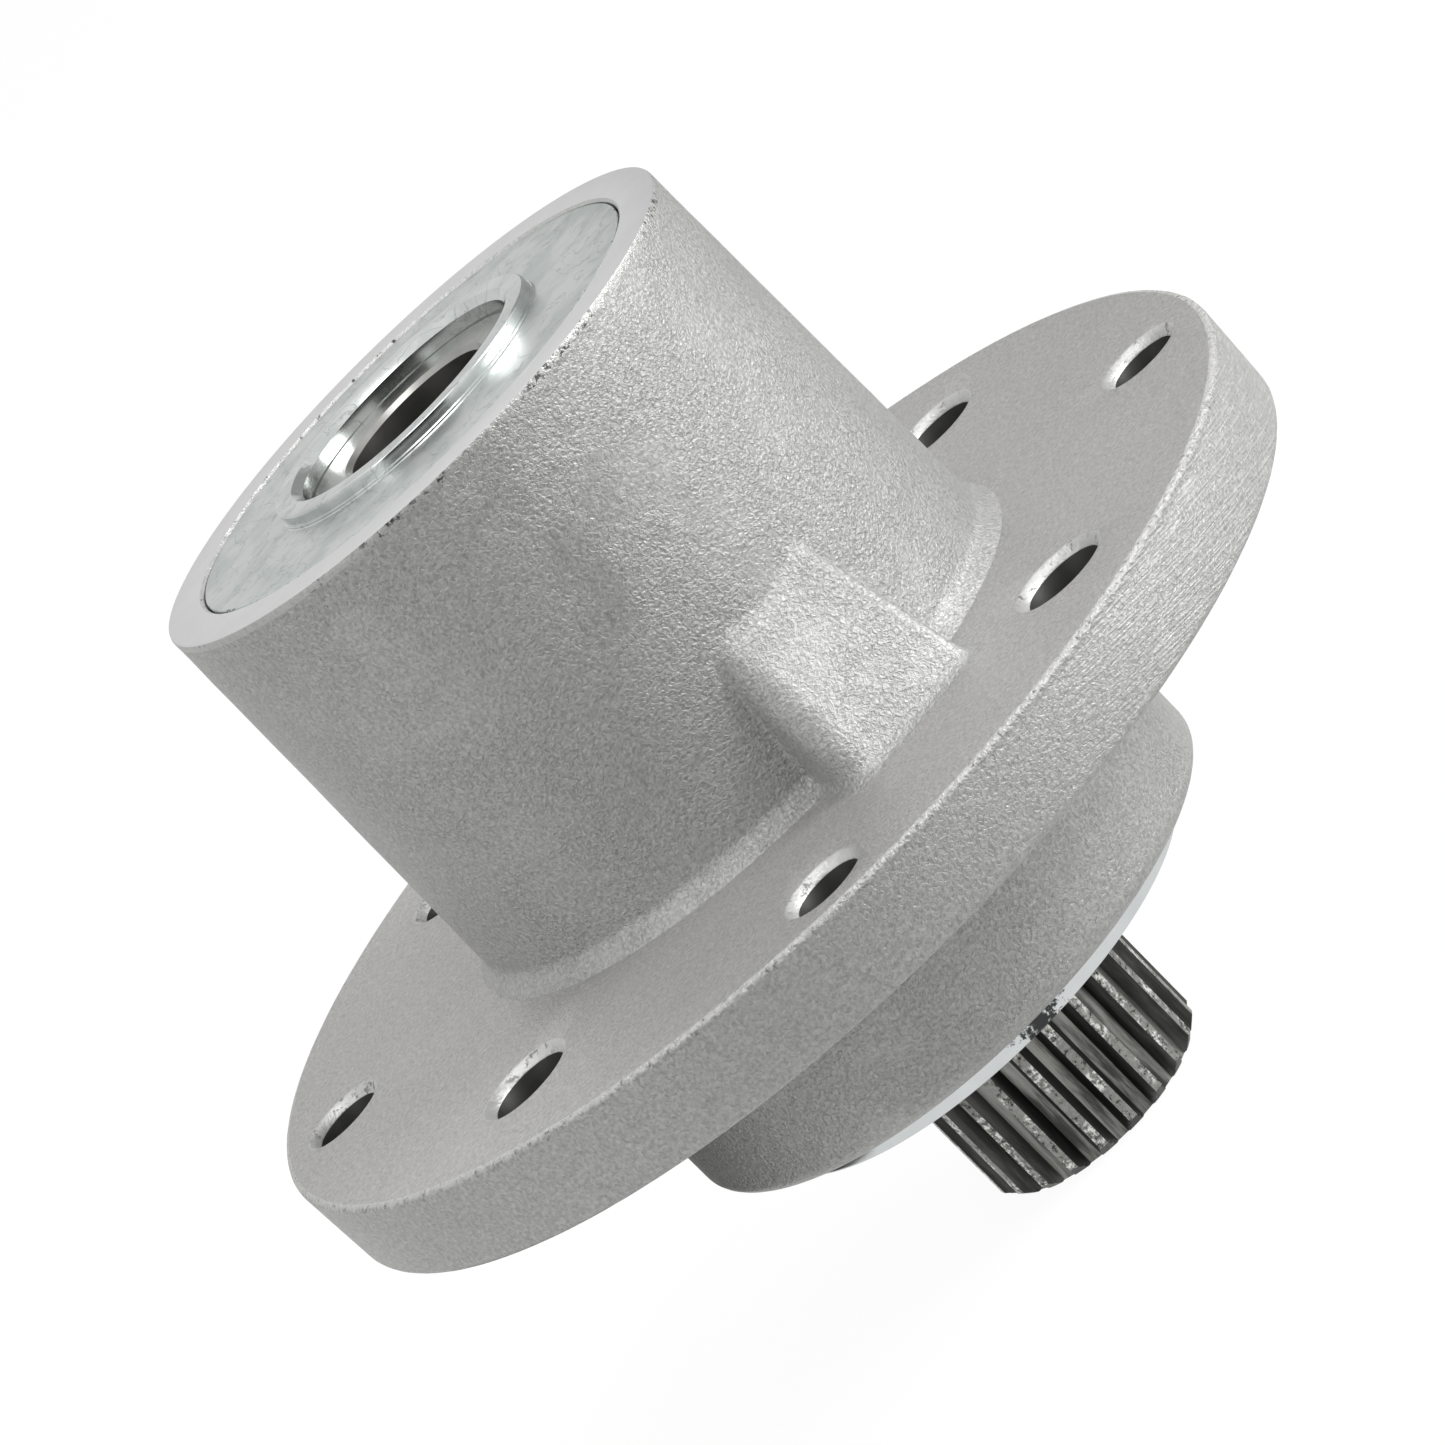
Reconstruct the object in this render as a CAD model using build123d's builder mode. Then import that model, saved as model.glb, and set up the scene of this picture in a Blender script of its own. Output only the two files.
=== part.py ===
from build123d import *
from math import cos, radians, sin, tan
import os

# Mower deck spindle: a round-flanged cast housing with two ball bearings and a splined shaft.
# The origin is the centre of the flange's lower face, +Z is the spindle axis towards the long
# barrel, and one of the smaller bolt holes lies on -Y. All sizes are in millimetres.

# Housing casting
flange_dia = 161.4
flange_thick = 13.1
flange_side_draft = 0.4
flange_top_round = 0.9
flange_bottom_round = 1.2
small_hole_dia = 9.7
small_hole_inset = 10.2
large_hole_dia = 11.3
large_hole_inset = 17.2
holes_per_circle = 4
hole_chamfer = 1.1
barrel_height = 74.3
barrel_top_dia = 84.0
barrel_root_dia = 86.6
rim_edge_break = 0.35
root_cove_wide = 2.0
root_cove_tall = 2.2
hub_dia = 85.8
hub_depth = 28.8
hub_edge_wide = 6.3
hub_edge_tall = 3.4
core_dia = 62.0
mouth_break = 0.35

# Lug that grows out of the barrel and ends on the flange
lug_angle = 22.5
lug_top = 35.2
lug_top_width = 19.4
lug_foot_width = 22.6
lug_foot_reach = 53.5
lug_face_slope = 0.5
lug_corner_round = 1.8
lug_foot_round = 1.6

# Ball bearings, one size at both ends
bearing_bore = 35.0
bearing_outside = 72.0
bearing_width = 17.0
race_edge_break = 1.1
ball_count = 9
ball_circle = 53.5
groove_ratio = 1.04
inner_race_wall = 5.95
outer_race_wall = 5.9
seal_seat_deep = 1.5
seal_thick = 1.4
seal_web = 0.8
seal_inset = 0.25
seal_bead = 1.3
cage_sheet = 0.7
cage_band = 4.2
rivet_dia = 1.6
rivet_head_dia = 2.8
rivet_head_tall = 0.5

# Retaining rings in the housing bore
ring_thick = 2.5
ring_groove_dia = 75.0
ring_band = 5.0
ring_ear_dia = 7.4
ring_gap = 10.0
ring_eye_dia = 2.5
ring_eye_pitch = 15.6

# Shaft
shaft_top_recess = 2.8
shaft_bore_dia = 22.4
shaft_bore_depth = 48.0
shaft_bore_chamfer = 0.65
shaft_edge_break = 0.4
drill_point = 118.0
shoulder_dia = 44.0
shoulder_thick = 3.7
spacer_dia = 42.0
spline_dia = 34.93
spline_root_dia = 31.4
spline_teeth = 21
spline_land = 1.35
spline_root_land = 1.8
spline_length = 25.0
spline_end_chamfer = 1.4
spline_first_land = 9.6
cutter_overrun = 1.0

# Dust shields
shield_dia = 71.4
shield_plate = 1.6
shield_below_rim = 0.2
collar_foot_dia = 43.5
collar_top_dia = 42.9
collar_height = 2.0
collar_foot_tall = 0.5
collar_chamfer = 1.0
lower_shield_dia = 70.5
lower_shield_thick = 4.2
lower_shield_proud = 2.9
lower_shield_edge = 0.3
lower_shield_boss = 0.5

# Clearances
seat_gap = 0.01
slip_gap = 0.05
ball_gap = 0.03
pocket_gap = 0.1
seal_cage_gap = 0.494
lip_gap = 0.15
ring_play = 0.15
shield_clear = 0.8
spline_clear = 0.2

# Heights along the spindle axis that follow from the sizes above
shield_top = barrel_height - shield_below_rim
shield_under = shield_top - shield_plate
upper_bearing_top = shield_under - shield_clear - ring_thick
upper_bearing_bottom = upper_bearing_top - bearing_width
lower_shield_bottom = -hub_depth - lower_shield_proud
lower_shield_top = lower_shield_bottom + lower_shield_thick
shoulder_bottom = lower_shield_top + lower_shield_boss
lower_bearing_bottom = shoulder_bottom + shoulder_thick
lower_bearing_top = lower_bearing_bottom + bearing_width
collar_top = shield_top + collar_height
shaft_top = collar_top - shaft_top_recess
spline_top = lower_shield_bottom + spline_clear
shaft_bottom = spline_top - spline_length

# Radii that follow from the sizes above
seat_r = bearing_outside / 2 + seat_gap
shaft_r = bearing_bore / 2 - seat_gap
slip_r = shaft_r + slip_gap
seal_inside = bearing_width / 2 - seal_inset - seal_thick
ball_r = seal_inside - seal_cage_gap - cage_sheet - pocket_gap
groove_r = ball_r * groove_ratio
pocket_r = ball_r + pocket_gap
pitch_r = ball_circle / 2
inner_land_r = bearing_bore / 2 + inner_race_wall
outer_land_r = bearing_outside / 2 - outer_race_wall
seal_seat_r = outer_land_r + seal_seat_deep


# Lug form: a trapezoid seen from the front, cut to a wedge by its sloping face
lug_plane = Plane(
    origin=(0, 0, 0),
    x_dir=(cos(radians(lug_angle)), sin(radians(lug_angle)), 0),
    z_dir=(sin(radians(lug_angle)), -cos(radians(lug_angle)), 0),
)
lug_face = Plane(
    origin=lug_plane.z_dir * lug_foot_reach + Vector(0, 0, flange_thick),
    z_dir=lug_plane.z_dir + Vector(0, 0, lug_face_slope),
)
lug_start = (core_dia + barrel_top_dia) / 4
lug_sink = flange_thick / 2
lug_widen = (lug_foot_width - lug_top_width) / (lug_top - flange_thick)
lug_sunk_width = lug_foot_width + lug_widen * lug_sink
with BuildPart() as lug_form:
    with BuildSketch(lug_plane.offset(lug_start)):
        Polygon(
            (-lug_sunk_width / 2, flange_thick - lug_sink),
            (lug_sunk_width / 2, flange_thick - lug_sink),
            (lug_top_width / 2, lug_top),
            (-lug_top_width / 2, lug_top),
            align=None,
        )
    extrude(amount=lug_foot_reach + lug_sink - lug_start)
    split(bisect_by=lug_face, keep=Keep.BOTTOM)
    lug_front = faces().sort_by(Axis(lug_face.origin, lug_face.z_dir))[-1]
    fillet(lug_front.edges().sort_by(Axis.Z)[1:], radius=lug_corner_round)

# Housing: one casting, turned where the bearings and rings sit
hub_r = hub_dia / 2
flange_r = flange_dia / 2
root_r = barrel_root_dia / 2
top_r = barrel_top_dia / 2
core_r = core_dia / 2
groove_out_r = ring_groove_dia / 2
cove_top = flange_thick + root_cove_tall
cove_top_r = root_r - (root_r - top_r) * root_cove_tall / (barrel_height - flange_thick)
upper_groove_top = upper_bearing_top + ring_thick + ring_play
lower_groove_bottom = lower_bearing_bottom - ring_thick - ring_play
with BuildPart() as housing:
    with BuildSketch(Plane.XZ):
        with BuildLine():
            hub_edge = EllipticalCenterArc(
                (hub_r - hub_edge_wide, hub_edge_tall - hub_depth),
                hub_edge_wide,
                hub_edge_tall,
                start_angle=270,
                arc_size=90,
            )
            Polyline(
                hub_edge @ 1,
                (hub_r, 0),
                (flange_r - flange_side_draft, 0),
                (flange_r, flange_thick),
                (root_r + root_cove_wide, flange_thick),
                (cove_top_r, cove_top),
                (top_r, barrel_height - rim_edge_break),
                (top_r - rim_edge_break, barrel_height),
                (seat_r + mouth_break, barrel_height),
                (seat_r, barrel_height - mouth_break),
                (seat_r, upper_groove_top),
                (groove_out_r, upper_groove_top),
                (groove_out_r, upper_bearing_top),
                (seat_r, upper_bearing_top),
                (seat_r, upper_bearing_bottom),
                (core_r, upper_bearing_bottom),
                (core_r, lower_bearing_top),
                (seat_r, lower_bearing_top),
                (seat_r, lower_bearing_bottom),
                (groove_out_r, lower_bearing_bottom),
                (groove_out_r, lower_groove_bottom),
                (seat_r, lower_groove_bottom),
                (seat_r, mouth_break - hub_depth),
                (seat_r + mouth_break, -hub_depth),
                hub_edge @ 0,
            )
        make_face()
    revolve(axis=Axis.Z)
    for height, rounding in ((flange_thick, flange_top_round), (0, flange_bottom_round)):
        circles = edges().filter_by(GeomType.CIRCLE).filter_by_position(Axis.Z, height, height)
        fillet(circles.sort_by(SortBy.RADIUS)[-1], radius=rounding)
    add(lug_form.part)
    lug_foot = edges().filter_by(GeomType.LINE)
    fillet(lug_foot.filter_by_position(Axis.Z, flange_thick, flange_thick), radius=lug_foot_round)
    half_step = 180 / holes_per_circle
    with Locations((0, 0, flange_thick)):
        with PolarLocations(flange_r - small_hole_inset, holes_per_circle):
            small_r = small_hole_dia / 2
            CounterSinkHole(small_r, small_r + hole_chamfer, counter_sink_angle=90)
        with PolarLocations(flange_r - large_hole_inset, holes_per_circle, start_angle=half_step):
            large_r = large_hole_dia / 2
            CounterSinkHole(large_r, large_r + hole_chamfer, counter_sink_angle=90)
housing.part.label = "housing"

# Spindle shaft: turned blank with a shoulder, a blind bore in its top and a splined lower end
spline_r = spline_dia / 2
spline_root_r = spline_root_dia / 2
shoulder_r = shoulder_dia / 2
bore_r = shaft_bore_dia / 2
bore_floor = shaft_top - shaft_bore_depth
drill_depth = bore_r / tan(radians(drill_point / 2))
tooth_angle = 360 / spline_teeth
tooth_pitch = 2 * spline_r * sin(radians(tooth_angle / 2))
gap_spread = (tooth_pitch - spline_land - spline_root_land) / (spline_r - spline_root_r)
gap_reach = spline_r + cutter_overrun
gap_at_reach = spline_root_land + gap_spread * (gap_reach - spline_root_r)
first_gap = spline_first_land - 90 + tooth_angle / 2
with BuildPart() as spindle_shaft:
    with BuildSketch(Plane.XZ):
        Polygon(
            (0, spline_top),
            (shaft_r, spline_top),
            (shaft_r, shoulder_bottom),
            (shoulder_r, shoulder_bottom),
            (shoulder_r, lower_bearing_bottom),
            (shaft_r, lower_bearing_bottom),
            (shaft_r, shaft_top - shaft_edge_break),
            (shaft_r - shaft_edge_break, shaft_top),
            (bore_r + shaft_bore_chamfer, shaft_top),
            (bore_r, shaft_top - shaft_bore_chamfer),
            (bore_r, bore_floor),
            (0, bore_floor - drill_depth),
            align=None,
        )
    revolve(axis=Axis.Z)
    with BuildSketch(Plane.XY.offset(shaft_bottom)):
        Circle(spline_r)
        with PolarLocations(0, spline_teeth, start_angle=first_gap):
            Polygon(
                (spline_root_r, -spline_root_land / 2),
                (gap_reach, -gap_at_reach / 2),
                (gap_reach, gap_at_reach / 2),
                (spline_root_r, spline_root_land / 2),
                align=None,
                mode=Mode.SUBTRACT,
            )
    extrude(amount=spline_length)
    with BuildSketch(Plane.XZ):
        Polygon(
            (spline_r - spline_end_chamfer, shaft_bottom),
            (gap_reach, shaft_bottom + spline_end_chamfer + gap_reach - spline_r),
            (gap_reach, shaft_bottom),
            align=None,
        )
    revolve(axis=Axis.Z, mode=Mode.SUBTRACT)
spindle_shaft.part.label = "spindle_shaft"

# Upper dust shield: turned disc with a collar round the shaft end and a boss on the inner race
shield_r = shield_dia / 2
collar_foot_r = collar_foot_dia / 2
collar_r = collar_top_dia / 2
with BuildPart() as upper_dust_shield:
    with BuildSketch(Plane.XZ):
        Polygon(
            (slip_r, upper_bearing_top),
            (collar_foot_r, upper_bearing_top),
            (collar_foot_r, shield_under),
            (shield_r, shield_under),
            (shield_r, shield_top),
            (collar_foot_r, shield_top),
            (collar_foot_r, shield_top + collar_foot_tall),
            (collar_r, shield_top + collar_foot_tall),
            (collar_r, collar_top),
            (slip_r + collar_chamfer, collar_top),
            (slip_r, collar_top - collar_chamfer),
            align=None,
        )
    revolve(axis=Axis.Z)
upper_dust_shield.part.label = "upper_dust_shield"

# Lower dust shield: turned disc that stands proud of the hub, with a boss against the shoulder
lower_shield_r = lower_shield_dia / 2
with BuildPart() as lower_dust_shield:
    with BuildSketch(Plane.XZ):
        Polygon(
            (slip_r, lower_shield_bottom),
            (lower_shield_r - lower_shield_edge, lower_shield_bottom),
            (lower_shield_r, lower_shield_bottom + lower_shield_edge),
            (lower_shield_r, lower_shield_top),
            (shoulder_r, lower_shield_top),
            (shoulder_r, shoulder_bottom),
            (slip_r, shoulder_bottom),
            align=None,
        )
    revolve(axis=Axis.Z)
lower_dust_shield.part.label = "lower_dust_shield"

# Spacer tube between the two inner races
with BuildPart() as inner_spacer:
    with BuildSketch(Plane.XY.offset(lower_bearing_top)):
        Circle(spacer_dia / 2)
        Circle(slip_r, mode=Mode.SUBTRACT)
    extrude(amount=upper_bearing_bottom - lower_bearing_top)
inner_spacer.part.label = "inner_spacer"


def retaining_ring(bottom):
    """Internal snap ring with two eyed ears, sprung into its groove at the given height."""
    outside_r = ring_groove_dia / 2 - slip_gap
    with BuildPart() as ring:
        with BuildSketch(Plane.XY.offset(bottom)):
            Circle(outside_r)
            Circle(outside_r - ring_band, mode=Mode.SUBTRACT)
            with Locations((outside_r - ring_ear_dia / 2, 0)):
                with GridLocations(0, ring_eye_pitch, 1, 2):
                    Circle(ring_ear_dia / 2)
                    Circle(ring_eye_dia / 2, mode=Mode.SUBTRACT)
            Circle(outside_r, mode=Mode.INTERSECT)
            with Locations((outside_r, 0)):
                Rectangle(2 * ring_ear_dia, ring_gap, mode=Mode.SUBTRACT)
        extrude(amount=ring_thick)
    return ring


def outer_race(bottom):
    """Outer race of one bearing, with its ball groove and the two seal seats."""
    outside_r = bearing_outside / 2
    seat_depth = seal_inset + seal_thick
    with BuildPart() as race:
        with BuildSketch(Plane.XZ):
            with Locations(((outer_land_r + outside_r) / 2, bottom + bearing_width / 2)):
                Rectangle(outer_race_wall, bearing_width)
            with Locations((pitch_r + ball_r + ball_gap - groove_r, bottom + bearing_width / 2)):
                Circle(groove_r, mode=Mode.SUBTRACT)
            with Locations((outer_land_r, bottom), (outer_land_r, bottom + bearing_width)):
                Rectangle(2 * seal_seat_deep, 2 * seat_depth, mode=Mode.SUBTRACT)
            chamfer(vertices().group_by(Axis.X)[-1], length=race_edge_break)
        revolve(axis=Axis.Z)
    return race


def inner_race(bottom):
    """Inner race of one bearing, with its ball groove."""
    inside_r = bearing_bore / 2
    with BuildPart() as race:
        with BuildSketch(Plane.XZ):
            with Locations(((inner_land_r + inside_r) / 2, bottom + bearing_width / 2)):
                Rectangle(inner_race_wall, bearing_width)
            with Locations((pitch_r - ball_r - ball_gap + groove_r, bottom + bearing_width / 2)):
                Circle(groove_r, mode=Mode.SUBTRACT)
            chamfer(vertices().group_by(Axis.X)[0], length=race_edge_break)
        revolve(axis=Axis.Z)
    return race


def ball_set(middle):
    """Balls of one bearing, each a separate solid of the same node."""
    with BuildPart() as balls:
        with Locations((0, 0, middle)):
            with PolarLocations(pitch_r, ball_count):
                Sphere(ball_r)
    return balls


def cage_half(middle, side):
    """Pressed ribbon half of the ball cage, on the given side of the balls' middle plane."""
    shell_r = pocket_r + cage_sheet
    with BuildSketch(Plane.XY.offset(middle)) as band:
        Circle(pitch_r + cage_band / 2)
        Circle(pitch_r - cage_band / 2, mode=Mode.SUBTRACT)
    with BuildPart() as cage:
        with Locations((0, 0, middle)):
            with PolarLocations(pitch_r, ball_count):
                Sphere(shell_r)
        extrude(band.sketch, amount=side * shell_r, mode=Mode.INTERSECT)
        extrude(band.sketch, amount=side * cage_sheet)
        with Locations((0, 0, middle)):
            with PolarLocations(pitch_r, ball_count):
                Sphere(pocket_r, mode=Mode.SUBTRACT)
            with PolarLocations(pitch_r, ball_count, start_angle=180 / ball_count):
                Cylinder(rivet_dia / 2 + seat_gap, 4 * cage_sheet, mode=Mode.SUBTRACT)
    return cage


def rivet_set(middle):
    """Rivets that join the two cage halves between the balls."""
    between_balls = 180 / ball_count
    hanging = (Align.CENTER, Align.CENTER, Align.MAX)
    standing = (Align.CENTER, Align.CENTER, Align.MIN)
    with BuildPart() as rivets:
        with Locations((0, 0, middle)):
            with PolarLocations(pitch_r, ball_count, start_angle=between_balls):
                Cylinder(rivet_dia / 2, 2 * cage_sheet)
        with Locations((0, 0, middle + cage_sheet)):
            with PolarLocations(pitch_r, ball_count, start_angle=between_balls):
                Cone(rivet_head_dia / 2, rivet_dia / 2, rivet_head_tall, align=standing)
        with Locations((0, 0, middle - cage_sheet)):
            with PolarLocations(pitch_r, ball_count, start_angle=between_balls):
                Cone(rivet_dia / 2, rivet_head_dia / 2, rivet_head_tall, align=hanging)
    return rivets


def seal(inner_face, side):
    """Lipped seal of one bearing; side points from its inner face to the outside."""
    bead_out = seal_seat_r - seat_gap
    lip_in = inner_land_r + lip_gap
    outer_face = inner_face + side * seal_thick
    web_face = inner_face + side * seal_web
    with BuildPart() as ring:
        with BuildSketch(Plane.XZ):
            Polygon(
                (lip_in, inner_face),
                (bead_out, inner_face),
                (bead_out, outer_face),
                (bead_out - seal_bead, outer_face),
                (bead_out - seal_bead - seal_web, web_face),
                (lip_in + seal_bead + seal_web, web_face),
                (lip_in + seal_bead, outer_face),
                (lip_in, outer_face),
                align=None,
            )
        revolve(axis=Axis.Z)
    return ring


pieces = {
    "housing": housing,
    "spindle_shaft": spindle_shaft,
    "upper_dust_shield": upper_dust_shield,
    "lower_dust_shield": lower_dust_shield,
    "inner_spacer": inner_spacer,
    "upper_retaining_ring": retaining_ring(upper_bearing_top),
    "lower_retaining_ring": retaining_ring(lower_bearing_bottom - ring_thick),
}
for end, bottom in (("upper", upper_bearing_bottom), ("lower", lower_bearing_bottom)):
    middle = bottom + bearing_width / 2
    pieces[f"{end}_outer_race"] = outer_race(bottom)
    pieces[f"{end}_inner_race"] = inner_race(bottom)
    pieces[f"{end}_balls"] = ball_set(middle)
    pieces[f"{end}_cage_top"] = cage_half(middle, 1)
    pieces[f"{end}_cage_bottom"] = cage_half(middle, -1)
    pieces[f"{end}_cage_rivets"] = rivet_set(middle)
    pieces[f"{end}_seal_top"] = seal(middle + seal_inside, 1)
    pieces[f"{end}_seal_bottom"] = seal(middle - seal_inside, -1)

os.makedirs("parts", exist_ok=True)
for name, piece in pieces.items():
    piece.part.label = name
    export_step(piece.part, f"parts/{name}.step")
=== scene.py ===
"""Looks of a mower deck spindle: a blasted aluminium casting, plated shields and a splined shaft.

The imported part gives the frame: the origin is the centre of the flange's lower face, +Z is the
spindle axis towards the long barrel, and one of the smaller bolt holes lies on -Y. Sizes are in
millimetres, and a name that ends in _m or a Blender call holds metres.
"""

import logging
import math
from collections.abc import Callable
from dataclasses import dataclass
from enum import Enum

import bpy
from mathutils import Matrix, Vector, noise

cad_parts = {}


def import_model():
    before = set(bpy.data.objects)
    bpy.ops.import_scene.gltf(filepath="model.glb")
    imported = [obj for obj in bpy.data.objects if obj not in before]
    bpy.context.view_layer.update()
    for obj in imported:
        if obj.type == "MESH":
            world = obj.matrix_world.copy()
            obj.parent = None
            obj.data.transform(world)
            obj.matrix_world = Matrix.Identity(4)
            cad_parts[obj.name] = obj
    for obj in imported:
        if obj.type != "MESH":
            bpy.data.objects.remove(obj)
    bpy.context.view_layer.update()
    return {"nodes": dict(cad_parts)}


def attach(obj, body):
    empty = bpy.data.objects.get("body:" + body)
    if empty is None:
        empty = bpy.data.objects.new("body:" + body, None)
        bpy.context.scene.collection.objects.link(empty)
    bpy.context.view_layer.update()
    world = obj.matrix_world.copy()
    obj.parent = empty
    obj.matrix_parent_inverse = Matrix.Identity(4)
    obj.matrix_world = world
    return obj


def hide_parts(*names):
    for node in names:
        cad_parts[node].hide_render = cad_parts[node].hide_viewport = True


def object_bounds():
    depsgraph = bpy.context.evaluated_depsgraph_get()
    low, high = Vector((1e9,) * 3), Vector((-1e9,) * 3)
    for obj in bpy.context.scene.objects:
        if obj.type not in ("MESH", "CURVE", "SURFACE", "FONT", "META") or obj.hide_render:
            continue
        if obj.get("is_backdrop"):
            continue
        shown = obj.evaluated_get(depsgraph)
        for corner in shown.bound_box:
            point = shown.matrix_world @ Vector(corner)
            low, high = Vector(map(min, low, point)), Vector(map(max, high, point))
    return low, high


LOG = logging.getLogger("spindle")
MM = 0.001
# Vertices nearer than this, in millimetres, are one.
MERGE = 0.002

Outline = list[tuple[float, float]]
FaceTest = Callable[[Vector, Vector], bool]
Link = bpy.types.NodeSocket | bpy.types.Node
Settings = dict[str | int, object]


# Operators


def deselect_all() -> None:
    """Leave edit mode and select nothing."""
    if bpy.context.object is not None and bpy.context.object.mode != "OBJECT":
        bpy.ops.object.mode_set(mode="OBJECT")
    bpy.ops.object.select_all(action="DESELECT")


def only(piece: bpy.types.Object) -> None:
    """Make a piece the active object and the only one that is selected.

    Args:
        piece: the object.
    """
    deselect_all()
    piece.select_set(True)
    bpy.context.view_layer.objects.active = piece


def edit(piece: bpy.types.Object, action: str = "DESELECT") -> None:
    """Enter edit mode on one piece, with nothing or all of it selected.

    Args:
        piece: the object.
        action: "SELECT" for all of it, "DESELECT" for nothing.
    """
    only(piece)
    bpy.ops.object.mode_set(mode="EDIT")
    bpy.ops.mesh.select_mode(type="VERT")
    bpy.ops.mesh.select_all(action=action)


def select_faces(piece: bpy.types.Object, wanted: FaceTest) -> None:
    """Select the faces that a test picks, and leave the piece in edit mode.

    Args:
        piece: the object whose faces are tested.
        wanted: takes a face's centre in millimetres and its normal.
    """
    edit(piece)
    bpy.ops.mesh.select_mode(type="FACE")
    bpy.ops.object.mode_set(mode="OBJECT")
    for face in piece.data.polygons:
        face.select = wanted(face.center / MM, face.normal)
    bpy.ops.object.mode_set(mode="EDIT")


def paint_faces(piece: bpy.types.Object, slot: Enum, wanted: FaceTest) -> None:
    """Give the faces that a test picks the material of one slot.

    Args:
        piece: the object, with its materials in their slots.
        slot: the slot, whose value is its number.
        wanted: takes a face's centre in millimetres and its normal.
    """
    for face in piece.data.polygons:
        if wanted(face.center / MM, face.normal):
            face.material_index = slot.value


def arc(
    centre: tuple[float, float],
    radius: tuple[float, float],
    start: float,
    end: float,
    parts: int,
) -> Outline:
    """Points of a round or elliptic stretch of an outline.

    Args:
        centre: radius from the spindle axis and height of the arc's centre.
        radius: half-widths of the arc across and along the spindle axis.
        start: first angle in degrees, from the outward direction upwards.
        end: last angle in degrees.
        parts: how many straight parts stand for the arc.

    Returns:
        The points, both ends included.
    """
    angles = [math.radians(start + (end - start) * k / parts) for k in range(parts + 1)]
    (across, along), (wide, tall) = centre, radius
    return [(across + wide * math.cos(a), along + tall * math.sin(a)) for a in angles]


def turn(name: str, outline: Outline, steps: int) -> bpy.types.Object:
    """Turn an outline about the spindle axis, ring by ring.

    Args:
        name: the new object's name.
        outline: radius and height of each ring; a radius of 0 is a pole, and an outline that
            ends where it began is closed.
        steps: how many vertices a ring has.

    Returns:
        The new object, with its faces pointing outwards.
    """
    (radius, height), rest = outline[0], outline[1:]
    deselect_all()
    place = (0, 0, height * MM)
    bpy.ops.mesh.primitive_circle_add(vertices=steps, radius=radius * MM, location=place)
    piece = bpy.context.object
    piece.name = name
    bpy.ops.object.transform_apply(location=True, rotation=True, scale=True)
    edit(piece, "SELECT")
    for next_radius, next_height in rest:
        rise = (0, 0, (next_height - height) * MM)
        bpy.ops.mesh.extrude_region_move(TRANSFORM_OT_translate={"value": rise})
        if next_radius == 0:
            bpy.ops.mesh.merge(type="CENTER")
            break
        grow = next_radius / radius
        middle = (0, 0, next_height * MM)
        bpy.ops.transform.resize(value=(grow, grow, 1), center_override=middle)
        radius, height = next_radius, next_height
    bpy.ops.mesh.select_all(action="SELECT")
    bpy.ops.mesh.remove_doubles(threshold=MERGE * MM)
    bpy.ops.mesh.normals_make_consistent(inside=False)
    bpy.ops.object.mode_set(mode="OBJECT")
    return piece


def close_with_pole(piece: bpy.types.Object, rise: float) -> None:
    """Draw the piece's open ring together to one point.

    Args:
        piece: the object with one open ring.
        rise: how far above the ring the point lies.
    """
    edit(piece)
    bpy.ops.mesh.select_mode(type="EDGE")
    bpy.ops.mesh.select_non_manifold()
    bpy.ops.mesh.extrude_region_move(TRANSFORM_OT_translate={"value": (0, 0, rise * MM)})
    bpy.ops.mesh.merge(type="CENTER")
    bpy.ops.mesh.select_all(action="SELECT")
    bpy.ops.mesh.normals_make_consistent(inside=False)
    bpy.ops.object.mode_set(mode="OBJECT")


def cut(piece: bpy.types.Object, cutter: bpy.types.Object) -> None:
    """Take a cutter out of a piece, and delete the cutter.

    Args:
        piece: the object that is cut.
        cutter: a closed object.
    """
    only(piece)
    modifier = piece.modifiers.new("cut", "BOOLEAN")
    modifier.operation = "DIFFERENCE"
    modifier.solver = "EXACT"
    modifier.object = cutter
    bpy.ops.object.modifier_apply(modifier=modifier.name)
    bpy.data.objects.remove(cutter)


def smooth(piece: bpy.types.Object, degrees: float) -> None:
    """Shade a piece smooth, apart from its edges over an angle."""
    only(piece)
    bpy.ops.object.shade_smooth_by_angle(angle=math.radians(degrees))


# Materials


def colour(code: str) -> tuple[float, float, float, float]:
    """Linear colour of an sRGB hex code such as "a0a0a0"."""
    levels = [int(code[k : k + 2], 16) / 255 for k in (0, 2, 4)]
    return (*[v / 12.92 if v <= 0.04045 else ((v + 0.055) / 1.055) ** 2.4 for v in levels], 1.0)


def per_metre(millimetres: float) -> float:
    """Texture scale that repeats a pattern at a real size."""
    return 1 / (millimetres * MM)


def add_node(
    tree: bpy.types.NodeTree,
    kind: str,
    settings: Settings | None = None,
    links: dict[str | int, Link] | None = None,
) -> bpy.types.Node:
    """Add a node with its settings and links.

    Args:
        tree: the node tree.
        kind: the node's type, without its leading "ShaderNode".
        settings: values by property name, or by input name or number.
        links: what to link from, by input name or number; a node stands for its first output.

    Returns:
        The new node.
    """
    node = tree.nodes.new("ShaderNode" + kind)
    for name, value in (settings or {}).items():
        if isinstance(name, str) and hasattr(node, name):
            setattr(node, name, value)
        else:
            node.inputs[name].default_value = value
    for name, source in (links or {}).items():
        socket = source.outputs[0] if isinstance(source, bpy.types.Node) else source
        tree.links.new(socket, node.inputs[name])
    return node


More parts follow.
